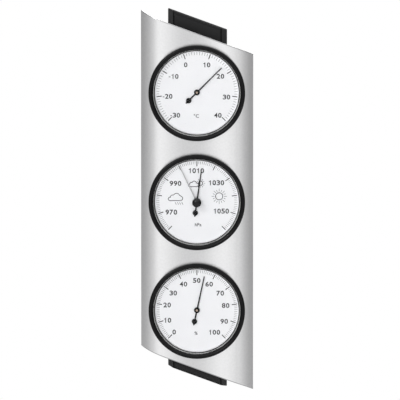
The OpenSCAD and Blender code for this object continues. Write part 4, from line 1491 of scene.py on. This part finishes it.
    def write(self, words: str, centre: Place, height: float, weight: float, name: str) -> None:
        """Prints plain figures or a unit's sign on the dial.

        Args:
            words: The figures or the unit's sign.
            centre: Where their middle is, from the dial's axis.
            height: Height of a capital or a figure, in millimetres.
            weight: How much the strokes are thickened, as a share of the type's size.
            name: The piece's name.
        """
        plain = words.lstrip("-").isdigit()
        shape = figures(words, weight) if plain else lettering(words, weight)
        middle = (shape.points[:, 0].min() + shape.points[:, 0].max()) / 2.0
        size = (height * self.stretch, height, PRINT_THICKNESS)
        points = (shape.points - (middle, 0.5, -0.5)) * size + (*centre, self.dial_front + PRINT_GAP)
        self.print_on(Mesh(points, shape.faces), name)

    def build(self) -> None:
        """Makes the instrument."""
        self.build_rings()
        self.build_scale()
        self.build_pointer()


@dataclass
class Barometer(Instrument):
    """The middle instrument, with weather signs, a set hand and its knob.

    A cloud is given by centre, width and height, each lobe of its outline by centre, radius, first and
    last angle in degrees and steps, a sun by centre, radius, rays and where they start and end, and the
    drops by the first one's x, their pitch and their number.
    """

    set_reading: float = 1000.4
    set_back: float = 32.1
    set_front: float = 32.45
    set_length: float = 36.0
    set_root: float = 1.0
    set_tip: float = 0.6
    set_bevel: float = 0.1
    set_hub: float = 2.8
    set_hub_front: float = 33.15
    set_hub_cut: float = 0.2
    stem_radius: float = 1.5
    knob_radius: float = 4.05
    knob_back: float = 34.95
    knob_rim: float = 3.2
    knob_front: float = 39.95
    knob_cut: float = 0.2
    knob_ease: float = 0.45
    knob_drop: float = 0.27
    knob_sharp: float = 60.0
    line: float = 0.6
    thin_line: float = 0.36
    short_ray: float = 0.75
    lobes: tuple[tuple[Place, float, float, float, int], ...] = (
        ((-2.2, 0.75), 0.75, 268.0, 110.0, 12), ((-1.15, 1.5), 0.95, 185.0, 75.0, 10),
        ((0.45, 1.95), 1.25, 150.0, 20.0, 14), ((1.95, 1.0), 1.0, 70.0, -88.0, 14))
    rain_cloud: tuple[Place, float, float] = ((-19.1, 3.9), 12.8, 6.6)
    drops: tuple[float, float, int] = (-18.9, 1.95, 4)
    drop_top: Place = (-0.5, -0.8)
    drop_foot: Place = (0.6, -3.0)
    change_cloud: tuple[Place, float, float] = ((-3.1, 15.7), 9.2, 5.0)
    change_sun: tuple[Place, float, int, float, float] = ((3.2, 16.3), 1.9, 12, 2.7, 4.2)
    full_sun: tuple[Place, float, int, float, float] = ((19.8, 4.6), 3.2, 16, 4.2, 6.8)

    def flat_line(self, path: Any, width: float, closed: bool = False) -> Mesh:
        """A printed band of even width along a path.

        Each side is the path moved by half the width along the normal of its central difference.

        Args:
            path: Points in x and y.
            width: Width of the band.
            closed: Whether the path closes on itself.

        Returns:
            The band as a closed surface.
        """
        path = np.array(path, float)
        along = np.roll(path, -1, 0) - np.roll(path, 1, 0) if closed else np.gradient(path, axis=0)
        along /= np.linalg.norm(along, axis=1, keepdims=True)
        side = np.stack([-along[:, 1], along[:, 0]], -1) * width / 2.0
        base = self.dial_front + PRINT_GAP
        top = base + PRINT_THICKNESS
        loops = [(path + side, base), (path - side, base), (path - side, top), (path + side, top)]
        points = np.stack([np.column_stack([p, np.full(len(p), d)]) for p, d in loops], 1).reshape(-1, 3)
        faces = grid_faces(len(path), 4, closed, True)
        if not closed:
            last = 4 * (len(path) - 1)
            faces = np.vstack([faces, [[3, 2, 1, 0], [last, last + 1, last + 2, last + 3]]])
        return Mesh(points, faces)

    def cloud(self, centre: Place, width: float, height: float) -> Mesh:
        """Outline of a cloud: four round lobes over a flat base, the third the highest.

        Args:
            centre: The middle of its box.
            width: The box's width.
            height: The box's height.

        Returns:
            The printed outline.
        """
        path = np.vstack([arc(*lobe) for lobe in self.lobes])
        low, high = path.min(0), path.max(0)
        path = (path - (low + high) / 2.0) / (high - low) * (width, height) + centre
        return self.flat_line(path, self.line, True)

    def sun(self, centre: Place, radius: float, rays: int, near: float, far: float) -> list[Mesh]:
        """A ring with thin rays.

        Args:
            centre: Its centre.
            radius: Radius of the ring.
            rays: Number of rays.
            near: Distance of a ray's foot from the centre.
            far: Distance of a ray's end from the centre; every second ray is shorter.

        Returns:
            The ring and its rays.
        """
        parts = [self.flat_line(arc(centre, radius, 0.0, 360.0, 40)[:-1], self.line, True)]
        for k in range(rays):
            angle = 2.0 * math.pi * k / rays
            end = far if k % 2 == 0 else near + (far - near) * self.short_ray
            way = np.array([math.cos(angle), math.sin(angle)])
            parts.append(self.flat_line(np.array(centre) + way * np.array([[near], [end]]), self.thin_line))
        return parts

    def weather_signs(self) -> dict[str, Mesh]:
        """Rain on the left, change at the top and sun on the right.

        Returns:
            Each sign's surface, by its name.
        """
        first, pitch, count = self.drops
        drop = np.array([self.drop_top, self.drop_foot])
        falling = [self.flat_line(drop + (first + pitch * k, 0.0), self.thin_line) for k in range(count)]
        return {"rain_sign": Mesh.joined([self.cloud(*self.rain_cloud), *falling]),
                "change_sign": Mesh.joined([self.cloud(*self.change_cloud), *self.sun(*self.change_sun)]),
                "sun_sign": Mesh.joined(self.sun(*self.full_sun))}

    def set_hand(self) -> Mesh:
        """The set hand: a tapered bevelled blade and a turned hub that ends under the glass.

        Returns:
            The hand, pointing up.
        """
        y = np.linspace(0.0, self.set_length, 16)
        half = (self.set_root + (self.set_tip - self.set_root) * y / self.set_length) / 2.0
        hub = section(self.stem_radius, self.set_hub, self.set_back, self.set_hub_front, 0.0, self.set_hub_cut)
        return Mesh.joined([blade(y, half, self.set_back, self.set_front, self.set_bevel), revolved(hub, steps=72)])

    def knob_profile(self) -> np.ndarray:
        """The knob's section: its stem, a straight rim, a rounded shoulder and a shallow dome.

        The dome is a circle of radius (a^2 + h^2) / (2 h) for a dome of half width a and height h.

        Returns:
            Rows of radius and distance from the wall, from pole to pole.
        """
        wide = self.knob_radius - self.knob_ease
        rise = self.knob_front - self.knob_back - self.knob_rim - self.knob_drop
        ball = (wide ** 2 + rise ** 2) / (2.0 * rise)
        reach = math.degrees(math.asin(wide / ball))
        dome = arc((0.0, self.knob_front - ball), ball, 90.0 - reach, 90.0, 16)
        dome[-1, 0] = 0.0
        shoulder = arc((wide, self.knob_front - rise - self.knob_drop), self.knob_ease, 0.0, 60.0, 4)
        foot = [[0.0, self.set_back], [self.stem_radius, self.set_back], [self.stem_radius, self.knob_back],
                [self.knob_radius - self.knob_cut, self.knob_back], [self.knob_radius, self.knob_back + self.knob_cut]]
        return np.vstack([foot, shoulder, dome])

    def build(self) -> None:
        """Makes the barometer."""
        super().build()
        for name, mesh in self.weather_signs().items():
            self.print_on(mesh, name)
        made = self.set_hand().turned(self.turn_of(self.set_reading)).to_object("set_blade", self.rise)
        self.add(made, "hand_grey", ["set_hand"], Body.SET_HAND)
        made = revolved(self.knob_profile(), steps=96).to_object("set_button", self.rise, self.knob_sharp)
        self.add(made, "knob_black", ["set_knob"], Body.SET_HAND)


@dataclass
class Studio:
    """Floor, lights, world and camera.

    The studio's rows are places on the way from the front round to the back and how bright it is there.
    """

    aim: Point = (0.00285, -0.034, -0.1380)
    elevation: float = 8.5
    azimuth: float = 1.2
    distance: float = 9.0
    lens: float = 910.5
    sensor: float = 36.0
    sight: float = 50.0
    floor_height: float = -1.5
    floor_half: float = 4.0
    floor_dark: Colour = (0.86, 0.86, 0.86)
    floor_light: Colour = (0.9, 0.9, 0.9)
    seen_share: float = 0.94
    light: Colour = (0.3, 0.3, 0.305)
    overhead: float = 0.5
    overhead_from: Place = (0.3, 0.75)
    overhead_light: Colour = (2.5, 2.5, 2.5)
    walls: tuple[Place, ...] = ((0.0, 1.0), (0.07, 1.0), (0.16, 0.7), (0.23, 0.57), (0.38, 0.46), (0.5, 0.38),
                                (0.93, 0.36), (0.99, 1.0))
    middle: Point = (0.0, -0.03, -0.14)
    lamps: tuple[tuple[str, Point, Place, float, bool], ...] = (
        ("key", (-1.9, -3.1, 1.7), (1.3, 1.3), 32.0, True), ("front", (-0.2, -4.2, 0.3), (2.4, 2.4), 87.0, False),
        ("back", (0.8, 3.0, 1.2), (2.2, 1.6), 60.0, True))

    def camera(self) -> None:
        """Puts a long camera at the photograph's angle, which keeps upright edges parallel."""
        data = bpy.data.cameras.new("camera")
        data.lens, data.sensor_width, data.clip_end = self.lens, self.sensor, self.sight
        made = linked("camera", data)
        tilt, turn = math.radians(self.elevation), math.radians(self.azimuth)
        level = self.distance * math.cos(tilt)
        made.location = (self.aim[0] + level * math.sin(turn), self.aim[1] - level * math.cos(turn),
                         self.aim[2] + self.distance * math.sin(tilt))
        made.rotation_euler = (math.pi / 2.0 - tilt, 0.0, turn)
        bpy.context.scene.camera = made

    def lamp(self, name: str, place: Point, size: Place, power: float, gloss: bool) -> None:
        """Adds a soft area lamp that looks at the part's middle.

        Args:
            name: The lamp's name.
            place: Where it hangs.
            size: Its width and height.
            power: Its power in watts.
            gloss: Whether glossy surfaces mirror the lamp itself.
        """
        data = bpy.data.lights.new(name, "AREA")
        data.shape = "RECTANGLE"
        data.size, data.size_y = size
        data.energy = power
        made = linked(name, data)
        made.location = place
        made.visible_glossy = gloss
        way = np.array(self.middle) - np.array(place)
        made.rotation_euler = (math.acos(-way[2] / np.linalg.norm(way)), 0.0, math.atan2(-way[0], way[1]))

    def world(self) -> None:
        """White to the camera, a white studio with grey side walls to gloss, and a plain grey light.

        The studio that gloss shows depends on the cosine of the angle round from the front, which is
        -y / sqrt(x^2 + y^2): white in front and behind, grey to the sides. It is brighter overhead.
        """
        graph = Graph("studio", Target.WORLD)
        x, y, z = graph.split(graph.node("TexCoord", {}, out="Generated"))
        front = -y / (x * x + y * y + 1e-6).root()
        stops = [(place, (level, level, level)) for place, level in self.walls]
        studio = graph.node("ValToRGB", {"stops": stops}, 0.5 - front * 0.5)
        studio = graph.blend(z.ramp(*self.overhead_from) * self.overhead, studio, self.overhead_light)
        seen = graph.blend(graph.rays("Camera", "Transmission"), studio, WHITE)
        light = graph.blend(graph.rays("Camera", "Glossy", "Transmission"), self.light, seen)
        bpy.context.scene.world = graph.close(graph.node("Background", {}, light, 1.0))

    def floor(self) -> None:
        """A pale floor well below the hanging part, which keeps the part's shadow."""
        corners = [(x * self.floor_half, y * self.floor_half, self.floor_height)
                   for x, y in ((-1, -1), (1, -1), (1, 1), (-1, 1))]
        data = bpy.data.meshes.new("floor")
        data.from_pydata(corners, [], [(0, 1, 2, 3)])
        made = linked("floor", data)
        graph = Graph("floor_pale")
        tint = graph.blend(graph.noise(3.0), self.floor_dark, self.floor_light)
        matt = graph.node("BsdfDiffuse", {}, Color=tint)
        glow = graph.node("Emission", {}, Color=WHITE, Strength=1.0)
        share = graph.rays("Camera", "Glossy", "Transmission") * self.seen_share
        dress(made, graph.close(graph.node("MixShader", {}, share, matt, glow)))

    def build(self) -> None:
        """Makes the studio."""
        bpy.context.scene.view_settings.view_transform = "Standard"
        self.camera()
        self.world()
        self.floor()
        for lamp in self.lamps:
            self.lamp(*lamp)


def instruments(palette: Palette) -> list[Instrument]:
    """The three instruments, from the top down, with their numbers where the dials carry them.

    Args:
        palette: The materials.

    Returns:
        The instruments.
    """
    return [
        Instrument(
            palette, "thermometer", rise=-42.0, low=-30.0, high=40.0, reading=16.6, body=Body.TEMPERATURE,
            number_height=4.3, unit="°C", unit_place=(-0.5, -21.2), unit_height=3.15,
            numbers={"-30": (-19.3, -20.6), "-20": (-26.1, -3.7), "-10": (-20.7, 14.2), "0": (-10.0, 24.6),
                     "10": (8.8, 24.6), "20": (20.9, 14.4), "30": (26.3, -4.2), "40": (18.6, -20.6)}),
        Barometer(
            palette, "barometer", rise=-140.0, low=960.0, high=1060.0, reading=1013.0, body=Body.PRESSURE,
            number_height=4.5, unit="hPa", unit_place=(1.1, -20.9), unit_height=3.0,
            numbers={"970": (-22.8, -9.8), "990": (-19.1, 16.1), "1010": (-0.5, 27.6), "1030": (17.4, 16.8),
                     "1050": (21.7, -8.7)},
            glass_bore=1.55, needle_length=28.6, stretch=1.025),
        Instrument(
            palette, "hygrometer", rise=-238.0, low=0.0, high=100.0, reading=54.5, body=Body.HUMIDITY,
            number_height=4.35, unit="%", unit_place=(-0.8, -20.8), unit_height=3.0,
            numbers={"0": (-20.3, -19.9), "10": (-26.1, -9.3), "20": (-26.5, 4.5), "30": (-21.1, 15.3),
                     "40": (-12.0, 23.4), "50": (-0.2, 26.7), "60": (10.9, 23.4), "70": (20.8, 15.3),
                     "80": (25.6, 4.2), "90": (24.3, -10.1), "100": (15.7, -20.0)}),
    ]


def main() -> None:
    """Builds the station's looks and its studio, in order."""
    logging.basicConfig(level=logging.INFO, format="%(message)s")
    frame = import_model()
    Studio().build()
    palette = Palette()
    dress_cad_nodes(frame, palette)
    for assembly in (Carrier(palette), HangingFrame(palette), *instruments(palette)):
        assembly.build()


if __name__ == "__main__":
    main()
